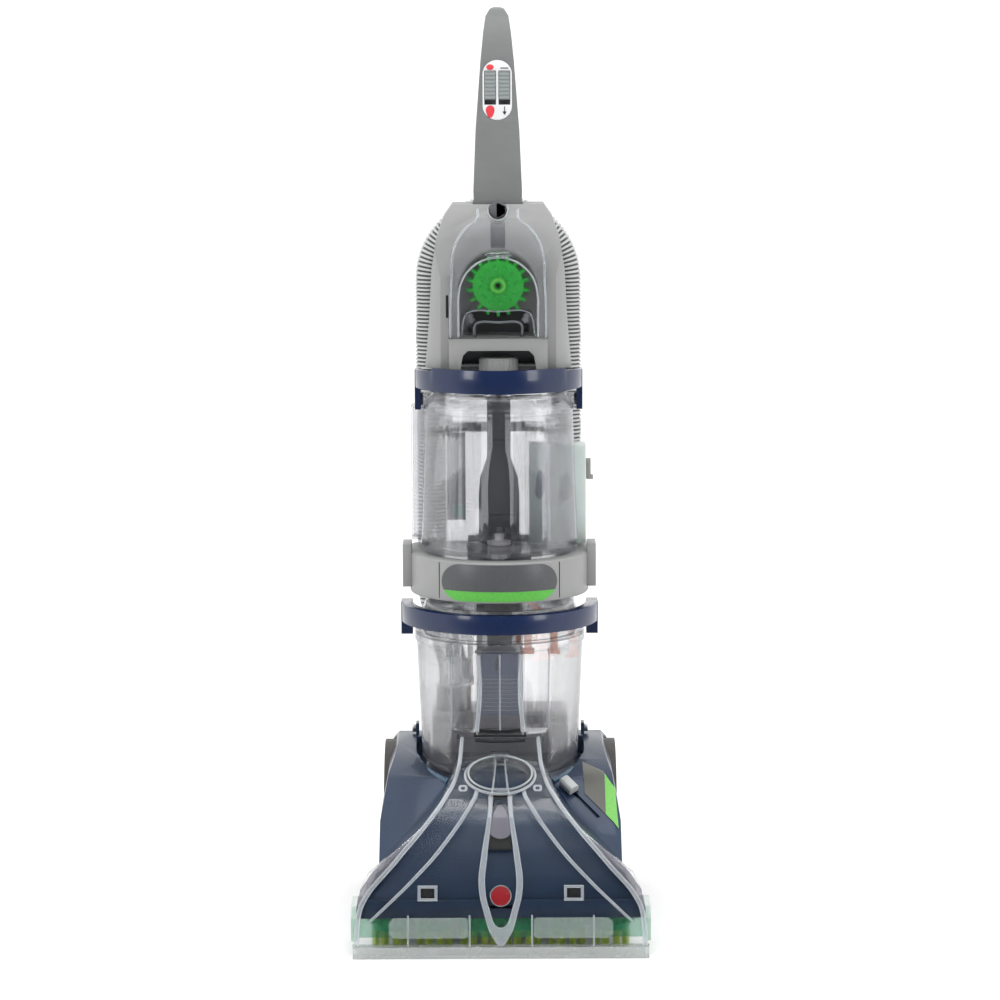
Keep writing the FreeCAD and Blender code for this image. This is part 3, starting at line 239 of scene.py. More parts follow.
# Wheels in filled polypropylene: dark brown-grey and waxy.
WHEEL = moulded("polypropylene_wheel", "2A2826", "393633", 0.5, grain=1.2, depth=0.08)
# Pale grey ABS of the speed lever and the detergent cap: the lightest moulded grey on the machine.
PALE = moulded("abs_pale_grey", "B0B3B3", "C0C3C2", 0.38, grain=0.9, depth=0.04)
# Mid-grey ABS of the two slide switches.
SWITCH = moulded("abs_switch_grey", "7D8383", "8B9191", 0.4, grain=0.9, depth=0.04)
# White ABS switch plate: smooth and bright under its printed marks.
WHITE = moulded("abs_white_plate", "CDD0D1", "DADCDC", 0.3, grain=2.0, depth=0.02)
# Corrugated vinyl hose: pale ridges, and grooves darkened with painted shade.
HOSE = hose_vinyl()
# Bright green soft plastic of the small hand brush, slightly lit through.
TOOL = moulded("soft_vinyl_green", "1DA634", "2CBF40", 0.38, grain=1.2, depth=0.05, Subsurface_Weight=0.15)
# Emerald polypropylene of the brush gears and discs.
GEAR = moulded("polypropylene_green", "078A55", "14A870", 0.4, grain=1.2, depth=0.05)
# The same green above, lime bristle below, in one turned brush.
BRUSH = printed("polypropylene_green_lime_bristle", ("078A55", "12A46C"), ("9DB52C", "C2CE4A"), "Z", 27.1, True)
# Green translucent skirt and end caps of the brush block, under its dark moulded deck.
SKIRT = deck_and_skirt()
# Nylon bristle: yellow-green and a little shiny.
BRISTLE = moulded("nylon_bristle_lime", "8FB03A", "B4CC52", 0.45, grain=0.6, depth=0.08, drift=9.0)
# Orange acetal clips.
ORANGE = moulded("acetal_orange", "E26A1C", "F0863A", 0.35, grain=1.0, depth=0.04)
# Foamed polypropylene float: pale and dull.
FLOAT = moulded("polypropylene_float", "B6B9BA", "C6C9CA", 0.5, grain=1.3, depth=0.1)
# Rubber gasket, matt black.
RUBBER = moulded("rubber_black", "101112", "1B1C1D", 0.62, grain=0.7, depth=0.08)
# Light warm-grey ABS of the motor pod: reads as a soft pale shape behind the lower tank.
POD = moulded("abs_warm_grey", "A3A2A5", "B1B0B2", 0.44, grain=0.9, depth=0.06)
# Red enamel badge with a clear coat.
RED = moulded("enamel_red", "8E0714", "AE101E", 0.22, grain=2.5, depth=0.02, Coat_Weight=0.5)
# Pale milky polypropylene of the detergent bottle.
MILKY = moulded("polypropylene_milky", "C2C6C2", "D2D5D1", 0.42, grain=1.6, depth=0.05, Subsurface_Weight=0.2)
# Turned steel pins and screws: faint rings and small bright glints.
STEEL = brushed_steel()
# Printed film on the cradle: dark grey field over one green band.
CRADLE_PRINT = printed("film_dark_grey_green_band", ("444548", "515255"), ("3F9E36", "62B544"), "Z", 425.5, True)
# Printed film by the lever: warm grey field with a green edge.
SPEED_PRINT = printed("film_grey_green_edge", ("50504B", "5C5C56"), ("5DB545", "80C85C"), "X", 131.5, False)
# Clear polycarbonate: suction hood, thick, with bright edges.
HOOD = see_through("polycarbonate_hood", "F2F6F8", "8A939A", 0.15, 0.8, roughness=0.03, ripple=0.4)
# Clear styrene tanks, thinner and very slightly grey.
TANK = see_through("styrene_tank_clear", "E6E6EA", "70777F", 0.22, 0.92, roughness=0.025, ripple=0.3, spread=40.0)
# The upper tank has a faint lavender cast.
TANK_UPPER = see_through("styrene_tank_lavender", "DADBE2", "666A74", 0.28, 0.94, roughness=0.03, ripple=0.3,
                         spread=40.0)
# Thick edges of the same clear plastic: light gathers in them, so they read as pale lines.
EDGE = see_through("polycarbonate_edge", "CDD4DB", "F8FAFB", 0.5, 1.0, roughness=0.1, ripple=0.1,
                   through=0.4)
# Satin panels raised on the hood's lower edge.
PANEL = see_through("polycarbonate_satin", "DCE4E4", "C4CCCC", 0.3, 0.85, roughness=0.12, ripple=0.2, through=0.5)
# Side cheeks of the hood, seen against the light: grey with a lavender cast.
CHEEK = see_through("polycarbonate_cheek", "A29FA9", "85838D", 0.62, 0.92, roughness=0.1, ripple=0.3,
                    through=0.5)
# Frosted lip that slides on the carpet.
LIP = see_through("polycarbonate_frosted", "DADEDE", "A7AFAF", 0.6, 0.92, roughness=0.16, ripple=0.3,
                  through=0.5)
# Smoked clear lid of the lower tank.
LID = see_through("styrene_lid_clear", "EDEFF3", "8A9098", 0.34, 0.88, roughness=0.05, ripple=0.3)

# Blue-grey ABS of the baffle behind the duct: a cool shape seen through two clear walls.
BAFFLE = moulded("abs_blue_grey", "7F8597", "8F95A6", 0.4)
# Sage-green ABS tab on the column, muted by the tank in front of it.
SAGE = moulded("abs_sage_green", "6FA08A", "7FAE98", 0.4)
# Violet-grey film on the bottle: a slim dark mark.
VIOLET = moulded("film_violet_grey", "6B6877", "7A7786", 0.4)
# Lighter green vinyl at the hub of the hand brush.
LIME = moulded("soft_vinyl_lime", "52BE3E", "69CE50", 0.36, grain=1.2, depth=0.04)
# Red and black printing inks, satin and flat.
MARK_RED = moulded("ink_red", "C8303A", "D8444C", 0.35, grain=2.0, depth=0.01)
MARK_BLACK = moulded("ink_black", "2A2B2D", "353638", 0.35, grain=2.0, depth=0.01)


# ---------------------------------------------------------------- shaping tools
def pick(thing):
    bpy.ops.object.select_all(action="DESELECT")
    thing.select_set(True)
    bpy.context.view_layer.objects.active = thing


def apply_all(thing):
    pick(thing)
    for step in list(thing.modifiers):
        bpy.ops.object.modifier_apply(modifier=step.name)


def hand_over(thing, name, body, finish):
    """Settles a piece at the origin, names it, gives it its finish and its body."""
    pick(thing)
    bpy.ops.object.transform_apply(location=True, rotation=True, scale=True)
    thing.name = name
    thing.data.name = name
    thing.data.materials.clear()
    thing.data.materials.append(finish)
    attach(thing, body)
    return thing


def rounded_copy(node, finish, edge=0.6, segments=2, sharp=28.0, smooth=35.0):
    """An edge-rounded, smooth-shaded copy of a CAD piece, which stands for it."""
    source = frame["nodes"][node]
    thing = bpy.data.objects.new(node + "_finished", source.data.copy())
    bpy.context.scene.collection.objects.link(thing)
    pick(thing)
    bpy.ops.object.mode_set(mode="EDIT")
    bpy.ops.mesh.select_all(action="SELECT")
    bpy.ops.mesh.customdata_custom_splitnormals_clear()
    bpy.ops.mesh.remove_doubles(threshold=0.004 * MM)
    bpy.ops.mesh.dissolve_limited(angle_limit=math.radians(0.4))
    bpy.ops.object.mode_set(mode="OBJECT")
    if edge:
        bevel = thing.modifiers.new("edges", "BEVEL")
        bevel.width = edge * MM
        bevel.segments = segments
        bevel.limit_method = "ANGLE"
        bevel.angle_limit = math.radians(sharp)
        bevel.use_clamp_overlap = True
        bevel.harden_normals = False
        apply_all(thing)
    pick(thing)
    bpy.ops.object.shade_smooth_by_angle(angle=math.radians(smooth))
    hand_over(thing, node + "_finished", BODY_OF[node], finish)
    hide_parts(node)
    return thing


def bead(name, points, radius, body, finish, ends=None):
    """A rounded moulded rib along points in mm. Ends is the radius share at each end."""
    line = bpy.data.curves.new(name, "CURVE")
    line.dimensions = "3D"
    line.bevel_depth = radius * MM
    line.bevel_resolution = 3
    line.resolution_u = 8
    line.use_fill_caps = True
    spline = line.splines.new("BEZIER")
    spline.bezier_points.add(len(points) - 1)
    for at, (point, place) in enumerate(zip(spline.bezier_points, points)):
        point.co = Vector(place) * MM
        point.handle_left_type = point.handle_right_type = "AUTO"
        if ends:
            share = at / (len(points) - 1)
            point.radius = ends[0] + (ends[1] - ends[0]) * share
    thing = bpy.data.objects.new(name, line)
    bpy.context.scene.collection.objects.link(thing)
    pick(thing)
    bpy.ops.object.convert(target="MESH")
    thing = bpy.context.view_layer.objects.active
    bpy.ops.object.shade_smooth_by_angle(angle=math.radians(50))
    return hand_over(thing, name, body, finish)


def cut_plate(name, outlines, thickness, edge, smooth=True):
    """A flat piece facing the front, drawn in mm as (x, z) outlines about its middle plane. Later ones are holes."""
    line = bpy.data.curves.new(name, "CURVE")
    line.dimensions = "2D"
    line.fill_mode = "BOTH"
    line.extrude = (thickness / 2 - edge) * MM
    line.bevel_depth = edge * MM
    line.bevel_resolution = 2
    line.resolution_u = 6
    line.offset = -edge * MM
    for outline in outlines:
        spline = line.splines.new("BEZIER")
        spline.bezier_points.add(len(outline) - 1)
        for point, (x, z) in zip(spline.bezier_points, outline):
            point.co = Vector((x, z, 0)) * MM
            kind = "AUTO" if smooth else "VECTOR"
            point.handle_left_type = point.handle_right_type = kind
        spline.use_cyclic_u = True
    thing = bpy.data.objects.new(name, line)
    thing.rotation_euler = (math.pi / 2, 0, 0)
    bpy.context.scene.collection.objects.link(thing)
    pick(thing)
    bpy.ops.object.convert(target="MESH")
    thing = bpy.context.view_layer.objects.active
    bpy.ops.object.transform_apply(location=True, rotation=True, scale=True)
    bpy.ops.object.mode_set(mode="EDIT")
    bpy.ops.mesh.select_all(action="SELECT")
    bpy.ops.mesh.remove_doubles(threshold=0.002 * MM)
    bpy.ops.mesh.normals_make_consistent(inside=False)
    bpy.ops.object.mode_set(mode="OBJECT")
    bpy.ops.object.shade_smooth_by_angle(angle=math.radians(35))
    return thing


def set_back(thing, depth):
    """Moves a flat front piece to its depth, in mm."""
    for corner in thing.data.vertices:
        corner.co.y += depth * MM


# Front of the hood as (y, z) in mm, from the neck down to the lip.
HOOD_FRONT_LINE = [(-64, 239), (-72, 214), (-155, 184), (-178, 164), (-196, 130), (-209, 95), (-218, 60),
                   (-225, 30), (-227.5, 14), (-230, 0)]


def hood_y(z):
    """Depth of the hood's front at a height, in mm."""
    for (y0, z0), (y1, z1) in zip(HOOD_FRONT_LINE, HOOD_FRONT_LINE[1:]):
        if z >= z1:
            return y0 + (y1 - y0) * (z0 - z) / (z0 - z1)
    return HOOD_FRONT_LINE[-1][0]


def lay_on_hood(thing, proud):
    """Bends a flat front piece onto the folds of the hood, its middle plane proud of the skin in mm."""
    pick(thing)
    for _, z in HOOD_FRONT_LINE[1:-1]:
        bpy.ops.object.mode_set(mode="EDIT")
        bpy.ops.mesh.select_all(action="SELECT")
        bpy.ops.mesh.bisect(plane_co=(0, 0, z * MM), plane_no=(0, 0, 1))
        bpy.ops.object.mode_set(mode="OBJECT")
    for corner in thing.data.vertices:
        corner.co.y += (hood_y(corner.co.z / MM) - proud) * MM


# ---------------------------------------------------------------- CAD pieces with their finishes
FINISH_OF = {
    "base_housing": (NAVY, 1.6), "base_plate": (BLACK, 0.6), "base_pins": (STEEL, 0.4), "brush_motor": (BLACK, 0.8),
    "wheel_left": (WHEEL, 0.8), "wheel_right": (WHEEL, 0.8), "speed_label": (SPEED_PRINT, 0.0),
    "speed_lever": (PALE, 0.8), "recline_pedal": (BLACK, 1.2), "brush_block": (SKIRT, 0.5), "drive_gear": (GEAR, 0.3),
    "badge": (RED, 0.4), "nozzle_hood": (HOOD, 0.9), "suction_lip": (LIP, 0.8), "port_cap": (HOOD, 0.6),
    "recovery_tank": (TANK, 0.8), "recovery_lid": (LID, 0.9), "recovery_gasket": (RUBBER, 0.3),
    "float_cage": (TANK, 0.3), "recovery_float": (FLOAT, 1.2), "lid_clips": (ORANGE, 0.8),
    "recovery_bail": (BAIL, 1.2), "motor_housing": (POD, 1.5), "rear_cover": (POD, 0.8),
    "cord_inlet": (BLACK, 1.0), "suction_motor": (BLACK, 0.8), "motor_fan": (BLACK, 0.3), "pump": (BLACK, 0.8),
    "column_spine": (HOUSING, 1.2), "air_duct": (DUCT, 1.2), "tank_cradle": (HOUSING, 1.4),
    "cradle_label": (CRADLE_PRINT, 0.3), "clean_tank": (TANK_UPPER, 0.9), "tank_valve": (POD, 0.5),
    "tank_cap": (HOUSING, 0.6), "clean_bail": (BAIL, 1.2), "detergent_bottle": (MILKY, 1.5),
    "detergent_cap": (PALE, 0.8), "upper_housing": (HOUSING, 1.4), "caddy_cover": (TANK_UPPER, 0.5),
    "tool_door": (TANK_UPPER, 0.4), "tool_bracket": (BLACK, 0.5), "hand_tool_brush": (TOOL, 0.4),
    "hose_cuffs": (HOUSING, 0.8), "hose_hooks": (HOUSING, 1.0), "cord_hooks": (HOUSING, 1.0),
    "handle": (HANDLE, 1.2), "handle_bolt": (DUCT, 0.8), "switch_plate": (WHITE, 0.4),
    "power_switch": (SWITCH, 0.4), "rinse_switch": (SWITCH, 0.4), "trigger": (BLACK, 0.8),
    "housing_screws": (STEEL, 0.3),
}
for brush_number in range(1, 7):
    FINISH_OF[f"brush_{brush_number}"] = (BRUSH, 0.3)
for node_name, (node_finish, node_edge) in FINISH_OF.items():
    rounded_copy(node_name, node_finish, node_edge)


# ---------------------------------------------------------------- hose
def hose_line():
    """Centreline of the stored hose in metres, as control points of one smooth curve."""
    leg, corner = 87.0, 36.04
    arch, bend, front, rear = 797.0, 430.0, 127.0, 171.0
    points = [(-60, 139, 236.5), (-60, 139, 262), (-60, 139, 300), (-leg, front, 385), (-leg, front, 430),
              (-leg, front, arch - corner), (-leg, front, arch + corner), (-corner, front, arch + leg),
              (corner, front, arch + leg), (leg, front, arch + corner), (leg, front, arch - corner),
              (leg, front, bend + corner), (leg, front, bend - corner)]
    points += [(corner, front + (rear - front) / 3, bend - leg), (-corner, rear - (rear - front) / 3, bend - leg)]
    points += [(-leg, rear, bend - corner), (-leg, rear, bend + corner), (-leg, rear, arch - corner),
               (-leg, rear, arch + corner), (-corner, rear, arch + leg), (corner, rear, arch + leg),
               (leg, rear, arch + corner), (leg, rear, arch - corner), (leg, rear, 560), (leg, rear, 520)]
    return [Vector(point) * MM for point in points]


# One corrugation of the hose, in mm.
HOSE_PITCH, GROOVE_RADIUS, RIDGE_RADIUS = 5.0, 16.8, 18.9


def ribbed_hose():
    """One corrugation, repeated along the stored hose."""
    line = bpy.data.curves.new("hose_line", "CURVE")
    line.dimensions = "3D"
    line.resolution_u = 24
    line.twist_mode = "MINIMUM"
    spline = line.splines.new("NURBS")
    points = hose_line()
    spline.points.add(len(points) - 1)
    for point, place in zip(spline.points, points):
        point.co = (*place, 1)
    spline.order_u = 3
    spline.use_endpoint_u = True
    guide = bpy.data.objects.new("hose_line", line)
    bpy.context.scene.collection.objects.link(guide)

    bpy.ops.object.select_all(action="DESELECT")
    bpy.ops.mesh.primitive_cylinder_add(vertices=24, radius=GROOVE_RADIUS * MM, depth=HOSE_PITCH * MM,
                                        end_fill_type="NOTHING", location=(HOSE_PITCH / 2 * MM, 0, 0),
                                        rotation=(0, math.pi / 2, 0))
    thing = bpy.context.view_layer.objects.active
    pick(thing)
    bpy.ops.object.transform_apply(location=True, rotation=True, scale=True)
    bpy.ops.object.mode_set(mode="EDIT")
    for x in (1.3, 2.1, 4.2):
        bpy.ops.mesh.select_all(action="SELECT")
        bpy.ops.mesh.bisect(plane_co=(x * MM, 0, 0), plane_no=(1, 0, 0))
    bpy.ops.object.mode_set(mode="OBJECT")
    rise = thing.data.attributes.new("rise", "FLOAT", "POINT")
    for corner in thing.data.vertices:
        if 2.0 * MM < corner.co.x < 4.4 * MM:
            rise.data[corner.index].value = 1.0
            corner.co.y *= RIDGE_RADIUS / GROOVE_RADIUS
            corner.co.z *= RIDGE_RADIUS / GROOVE_RADIUS
    rows = thing.modifiers.new("rows", "ARRAY")
    rows.fit_type = "FIT_CURVE"
    rows.curve = guide
    rows.use_merge_vertices = True
    rows.merge_threshold = 0.01 * MM
    along = thing.modifiers.new("along", "CURVE")
    along.object = guide
    along.deform_axis = "POS_X"
    apply_all(thing)
    bpy.ops.object.mode_set(mode="EDIT")
    bpy.ops.mesh.select_all(action="DESELECT")
    bpy.ops.mesh.select_non_manifold()
    bpy.ops.mesh.fill_holes(sides=0)
    bpy.ops.mesh.select_all(action="SELECT")
    bpy.ops.mesh.normals_make_consistent(inside=False)
    bpy.ops.object.mode_set(mode="OBJECT")
    bpy.ops.object.shade_smooth_by_angle(angle=math.radians(60))
    bpy.data.objects.remove(guide)
    hand_over(thing, "corrugated_hose", BODY_OF["accessory_hose"], HOSE)
    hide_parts("accessory_hose")


ribbed_hose()

# ---------------------------------------------------------------- hood ribs and plates
RIM = [(49.6, 239), (54.3, 206), (70, 183), (94.5, 154), (131.5, 113), (171, 65), (176.4, 42), (177.6, 16)]
INNER_RIB = [(29, 188), (31.5, 183), (72, 130), (106, 94), (140, 62), (160, 44)]
for side, hand in HANDS:
    bead(f"hood_rim_{hand}", [(side * (x - 2.2), hood_y(z) + 1.2, z) for x, z in RIM], 3.3, "nozzle", EDGE,
         ends=(0.7, 1.0))
    bead(f"hood_rib_{hand}", [(side * x, hood_y(z) + 1.0, z) for x, z in INNER_RIB], 2.7, "nozzle", EDGE,
         ends=(1.0, 0.6))
    bead(f"hood_strap_edge_{hand}", [(side * x, hood_y(z) + drop, z) for x, z, drop in
                                     ((5.5, 213, -6), (8, 198, -11), (10.5, 187, -8), (11.2, 184.6, -2))],
         1.3, "port_cap", EDGE)
    cheek = cut_plate(f"hood_cheek_{hand}", [[(side * x, z) for x, z in ((112, 137), (132, 123), (157, 101), (171, 81),
                                                                         (174, 64), (165, 69), (132, 109))]], 1.6, 0.5,
                      smooth=False)
    lay_on_hood(cheek, -4.2)
    hand_over(cheek, f"hood_cheek_{hand}", "nozzle", CHEEK)
    pad = cut_plate(f"hood_pad_{hand}", [[(side * x, z) for x, z in ((40, 46), (43, 49), (130, 49), (136, 44),
                                                                     (136, 30), (130, 25), (43, 25), (40, 28))]],
                    2.4, 0.8, smooth=False)
    lay_on_hood(pad, 0.6)
    hand_over(pad, f"hood_pad_{hand}", "nozzle", PANEL)
    frame_outline = [(side * 89 + dx, 78 + dz) for dx, dz in ((-12, -9), (-12, 9), (12, 9), (12, -9))]
    latch_hole = [(side * 89 + dx, 78 + dz) for dx, dz in ((-8.5, -6), (-8.5, 6), (8.5, 6), (8.5, -6))]
    latch = cut_plate(f"hood_latch_{hand}", [frame_outline, latch_hole], 3.0, 0.6, smooth=False)
    lay_on_hood(latch, 0.5)
    hand_over(latch, f"hood_latch_{hand}", "nozzle", EDGE)
    hook = cut_plate(f"latch_hook_{hand}", [latch_hole], 2.0, 0.5, smooth=False)
    lay_on_hood(hook, -4.5)
    hand_over(hook, f"latch_hook_{hand}", "nozzle", BLACK)
    lug = [[(side * 46 + dx * scale, 191 + dz * scale) for dx, dz in ((-5, -1.6), (-5, 1.6), (0, 2.4), (5, 1.6),
                                                                     (5, -1.6), (0, -2.4))] for scale in (1.0, 0.45)]
    ring = cut_plate(f"hood_lug_{hand}", lug, 1.2, 0.3)
    lay_on_hood(ring, 0.4)
    hand_over(ring, f"hood_lug_{hand}", "nozzle", EDGE)
    for x in (38, 113):
        bead(f"hood_lip_rib_{hand}_{x}", [(side * x, hood_y(z) + 0.4, z) for z in (52, 30, 15)], 1.1, "nozzle", EDGE)

drop_half = [(14.2, 185), (14.4, 181), (15, 172), (17, 158), (24, 118), (27, 88), (21, 56), (9, 24)]
drop_inner = [(9, 185), (9.2, 181), (9.8, 172), (11.5, 158), (16.5, 118), (19, 88), (14, 60)]
drop_line = [(-x, z) for x, z in drop_half] + [(0, 15.5)] + drop_half[::-1]
drop_line += drop_inner + [(0, 37)] + [(-x, z) for x, z in drop_inner[::-1]]
drop = cut_plate("hood_teardrop", [drop_line], 5.0, 1.4)
lay_on_hood(drop, 0.2)
hand_over(drop, "hood_teardrop", "nozzle", EDGE)
arch_lens = cut_plate("hood_lens", [[(-12, 145), (-11, 160), (-6, 172), (0, 176), (6, 172), (11, 160), (12, 145)]],
                      1.8, 0.6)
lay_on_hood(arch_lens, 0.2)
hand_over(arch_lens, "hood_lens", "nozzle", CHEEK)
vent = cut_plate("nose_vent", [[(-12.5, 141), (12.5, 141), (14.5, 127), (-14.5, 127)]], 1.6, 0.5, smooth=False)
lay_on_hood(vent, -3.6)
hand_over(vent, "nose_vent", "nozzle", BLACK)
# A black strip drawn on the hood at the strap's slot: painted shade of the opening.
strap_slot_shade = cut_plate("strap_slot_shade", [[(-10, 186.5), (10, 186.5), (9, 182), (-9, 182)]], 1.8, 0.5, smooth=False)
lay_on_hood(strap_slot_shade, 1.0)
hand_over(strap_slot_shade, "strap_slot_shade", "nozzle", BLACK)

# The round port lies on the sloping top of the hood.
PORT_PLACE = Vector((0, -114, 198.8)) * MM
PORT_TILT = math.atan2(30, 83)


def port_ring(name, radius, thickness, lift, body, finish):
    bpy.ops.object.select_all(action="DESELECT")
    bpy.ops.mesh.primitive_torus_add(major_radius=radius * MM, minor_radius=thickness * MM, major_segments=72,
                                     minor_segments=10)
    ring = bpy.context.view_layer.objects.active
    ring.matrix_world = (Matrix.Translation(PORT_PLACE) @ Matrix.Rotation(PORT_TILT, 4, "X")
                         @ Matrix.Translation((0, 0, lift * MM)))
    bpy.ops.object.shade_smooth()
    return hand_over(ring, name, body, finish)


port_ring("port_rim", 43.2, 1.7, 4.2, "nozzle", EDGE)
port_ring("port_seal", 36.4, 1.1, 1.5, "port_cap", RUBBER)
port_ring("port_cap_bead", 39.5, 1.2, 7.6, "port_cap", EDGE)

# ---------------------------------------------------------------- foot
# The round tanks stand about a line this deep, in a seat of this radius, in mm.
TANK_DEPTH, SEAT_RADIUS = 38, 106
nose_skirt = cut_plate("nose_skirt", [[(-176, 46.5), (-176, 57), (-170, 69), (-21, 69), (-17, 58), (17, 58),
                                         (21, 69), (170, 69), (176, 57), (176, 46.5)]], 2.4, 0.8,
                       smooth=False)
set_back(nose_skirt, -211.6)
hand_over(nose_skirt, "nose_skirt", "base", NAVY)
for side, hand in HANDS:
    rim = []
    for step in range(7):
        turn = math.radians(8 + 44 * step / 6)
        rim.append((side * SEAT_RADIUS * math.cos(turn), TANK_DEPTH - SEAT_RADIUS * math.sin(turn), 199 - 3.4 * step))
    bead(f"tank_crescent_{hand}", rim, 4.6, "base", CRESCENT, ends=(0.35, 1.0))
bpy.ops.object.select_all(action="DESELECT")
bpy.ops.mesh.primitive_torus_add(major_radius=12.6 * MM, minor_radius=0.7 * MM, major_segments=56, minor_segments=8,
                                 location=(0, -206.2 * MM, 72.4 * MM), rotation=(math.radians(73.3), 0, 0))
badge_rim = bpy.context.view_layer.objects.active
bpy.ops.object.shade_smooth()
hand_over(badge_rim, "badge_rim", "base", STEEL)


# Six brushes stand in a row this far apart and this far forward, with tufts on this ring, in mm.
BRUSH_STEP, BRUSH_DEPTH, TUFT_RING = 54, -178, 19
TUFTS, BRISTLES_PER_TUFT, TUFT_SPREAD = 8, 12, 4.3
BRISTLE_TOP, BRISTLE_LENGTH = 27.5, 22.5


def bristle_tufts():
    """Fine bristles of one brush, in eight tufts round its axis."""
    rng = random.Random(7)
    bristles = []
    bpy.ops.object.select_all(action="DESELECT")
    for tuft in range(TUFTS):
        turn = math.pi * tuft / 4 + math.pi / 8
        for _ in range(BRISTLES_PER_TUFT):
            out, way = TUFT_SPREAD * math.sqrt(rng.random()) + 0.6, rng.random() * 2 * math.pi
            tall = BRISTLE_LENGTH + rng.random() * 0.8
            place = Vector((TUFT_RING * math.cos(turn) + out * math.cos(way),
                            TUFT_RING * math.sin(turn) + out * math.sin(way), BRISTLE_TOP - tall / 2)) * MM
            bpy.ops.mesh.primitive_cone_add(vertices=5, radius1=0.28 * MM, radius2=0.55 * MM, depth=tall * MM,
                                            location=place)
            bristles.append(bpy.context.view_layer.objects.active)
    for bristle in bristles:
        bristle.select_set(True)
    bpy.ops.object.join()
    return bpy.context.view_layer.objects.active


one_brush = bristle_tufts()
for number in range(1, 7):
    bristles = one_brush.copy()
    bristles.data = one_brush.data.copy()
    bpy.context.scene.collection.objects.link(bristles)
    pick(bristles)
    bpy.ops.object.transform_apply(location=True, rotation=True, scale=True)
    bristles.location = ((number - 3.5) * BRUSH_STEP * MM, BRUSH_DEPTH * MM, 0)
    hand_over(bristles, f"brush_{number}_bristles", f"brush_{number}", BRISTLE)
bpy.data.objects.remove(one_brush)

# ---------------------------------------------------------------- lower tank
for side, hand in HANDS:
    bead(f"duct_edge_{hand}", [(side * 27, -62.5, 344), (side * 25, -61.5, 300), (side * 29, -59.5, 246)], 2.8,
         "recovery_tank", EDGE)
    bead(f"tank_guide_{hand}", [(side * 62, -44, 346), (side * 61, -42, 300), (side * 60, -40.5, 246)], 1.0,
         "recovery_tank", EDGE)
bead("duct_centre_rib", [(0, -63.9, 344), (0, -62.9, 300), (0, -61.2, 247)], 1.1, "recovery_tank", EDGE)
bead("duct_seal", [(-25, -57.5, 248), (-13, -59.8, 247.2), (0, -60.6, 247), (13, -59.8, 247.2), (25, -57.5, 248)],
     1.7, "recovery_tank", RUBBER)
bead("neck_seal", [(-31, -66.5, 236.5), (-15, -69.2, 236), (0, -70, 235.8), (15, -69.2, 236), (31, -66.5, 236.5)],
     1.9, "nozzle", RUBBER)
baffle = cut_plate("duct_baffle", [[(-24, 262), (-24, 343), (24, 343), (24, 262)],
                                   [(-6, 318), (-2, 318), (-2, 335), (-6, 335)]], 2.0, 0.5, smooth=False)
set_back(baffle, -33)
hand_over(baffle, "duct_baffle", "recovery_tank", BAFFLE)
for line in range(9):
    z = 268 + line * 5.0
    bead(f"baffle_rib_{line}", [(-22, -34.4, z), (22, -34.4, z)], 0.6, "recovery_tank", FLOAT)

# ---------------------------------------------------------------- upper tank and column
panel = cut_plate("column_side_panel", [[(-67, 490), (-67, 603), (-43, 603), (-43, 490)]], 2.4, 0.8, smooth=False)
set_back(panel, 106)
hand_over(panel, "column_side_panel", "upright", HOUSING)
tab = cut_plate("green_tab", [[(-60, 493), (-60, 510), (-44, 510), (-44, 493)]], 1.6, 0.5, smooth=False)
set_back(tab, 104)
hand_over(tab, "green_tab", "upright", SAGE)
for z, half in ((594, 15.2), (497, 26.2)):
    bead(f"duct_joint_{z}", [(-half, 101.0, z), (0, 100.8, z), (half, 101.0, z)], 0.7, "upright", BLACK)
label = cut_plate("bottle_label", [[(58, 514), (58, 570), (80, 570), (80, 514)]], 0.8, 0.2, smooth=False)
set_back(label, 60.2)
hand_over(label, "bottle_label", "clean_tank", PALE)
window = cut_plate("bottle_window", [[(49, 524), (47.5, 545), (50, 558), (54, 560), (54, 524)]], 1.0, 0.3)
set_back(window, 60.1)
hand_over(window, "bottle_window", "clean_tank", VIOLET)
for side, hand in HANDS:
    bead(f"cradle_seam_{hand}", [(side * 75, TANK_DEPTH - 84.6, 414), (side * 75, TANK_DEPTH - 84.9, 459)], 0.5,
         "upright", BLACK)

# ---------------------------------------------------------------- caddy, bolt and handle
COVER_EDGE = [(26, 897), (26.5, 885), (41, 873), (51, 859), (56.5, 844), (58.5, 810), (60, 775), (60.5, 739)]


def cover_y(z):
    """Front of the clear cover at a height, in mm."""
    return -39 if z <= 830 else -39 + 15 * (z - 830) / 56


def shoulder_y(z):
    """Front of the grey housing's shoulder at a height, in mm."""
    if z < 812:
        return -22
    if z < 862:
        return -22 + 14 * (z - 812) / 50
    return -8 + 26 * (z - 862) / 38


for side, hand in HANDS:
    bead(f"cover_edge_{hand}", [(side * (x - 1), cover_y(z) + 1.2, z) for x, z in COVER_EDGE], 1.5, "upright", EDGE)
    bpy.ops.object.select_all(action="DESELECT")
    bpy.ops.mesh.primitive_cylinder_add(vertices=24, radius=3.3 * MM, depth=2.4 * MM,
                                        location=(side * 34.5 * MM, 1.0 * MM, 762 * MM), rotation=(math.pi / 2, 0, 0))
    screw = bpy.context.view_layer.objects.active
    bpy.ops.object.transform_apply(location=True, rotation=True, scale=True)
    bpy.ops.object.mode_set(mode="EDIT")
    bpy.ops.mesh.select_all(action="DESELECT")
    bpy.ops.object.mode_set(mode="OBJECT")
    for face in screw.data.polygons:
        face.select = face.normal.y < -0.9
    bpy.ops.object.mode_set(mode="EDIT")
    bpy.ops.mesh.select_mode(type="FACE")
    bpy.ops.mesh.inset(thickness=1.0 * MM)
    bpy.ops.mesh.extrude_region_move(TRANSFORM_OT_translate={"value": (0, 1.2 * MM, 0)})
    bpy.ops.object.mode_set(mode="OBJECT")
    bpy.ops.object.shade_smooth_by_angle(angle=math.radians(35))
    hand_over(screw, f"bracket_screw_{hand}", "upright", STEEL)

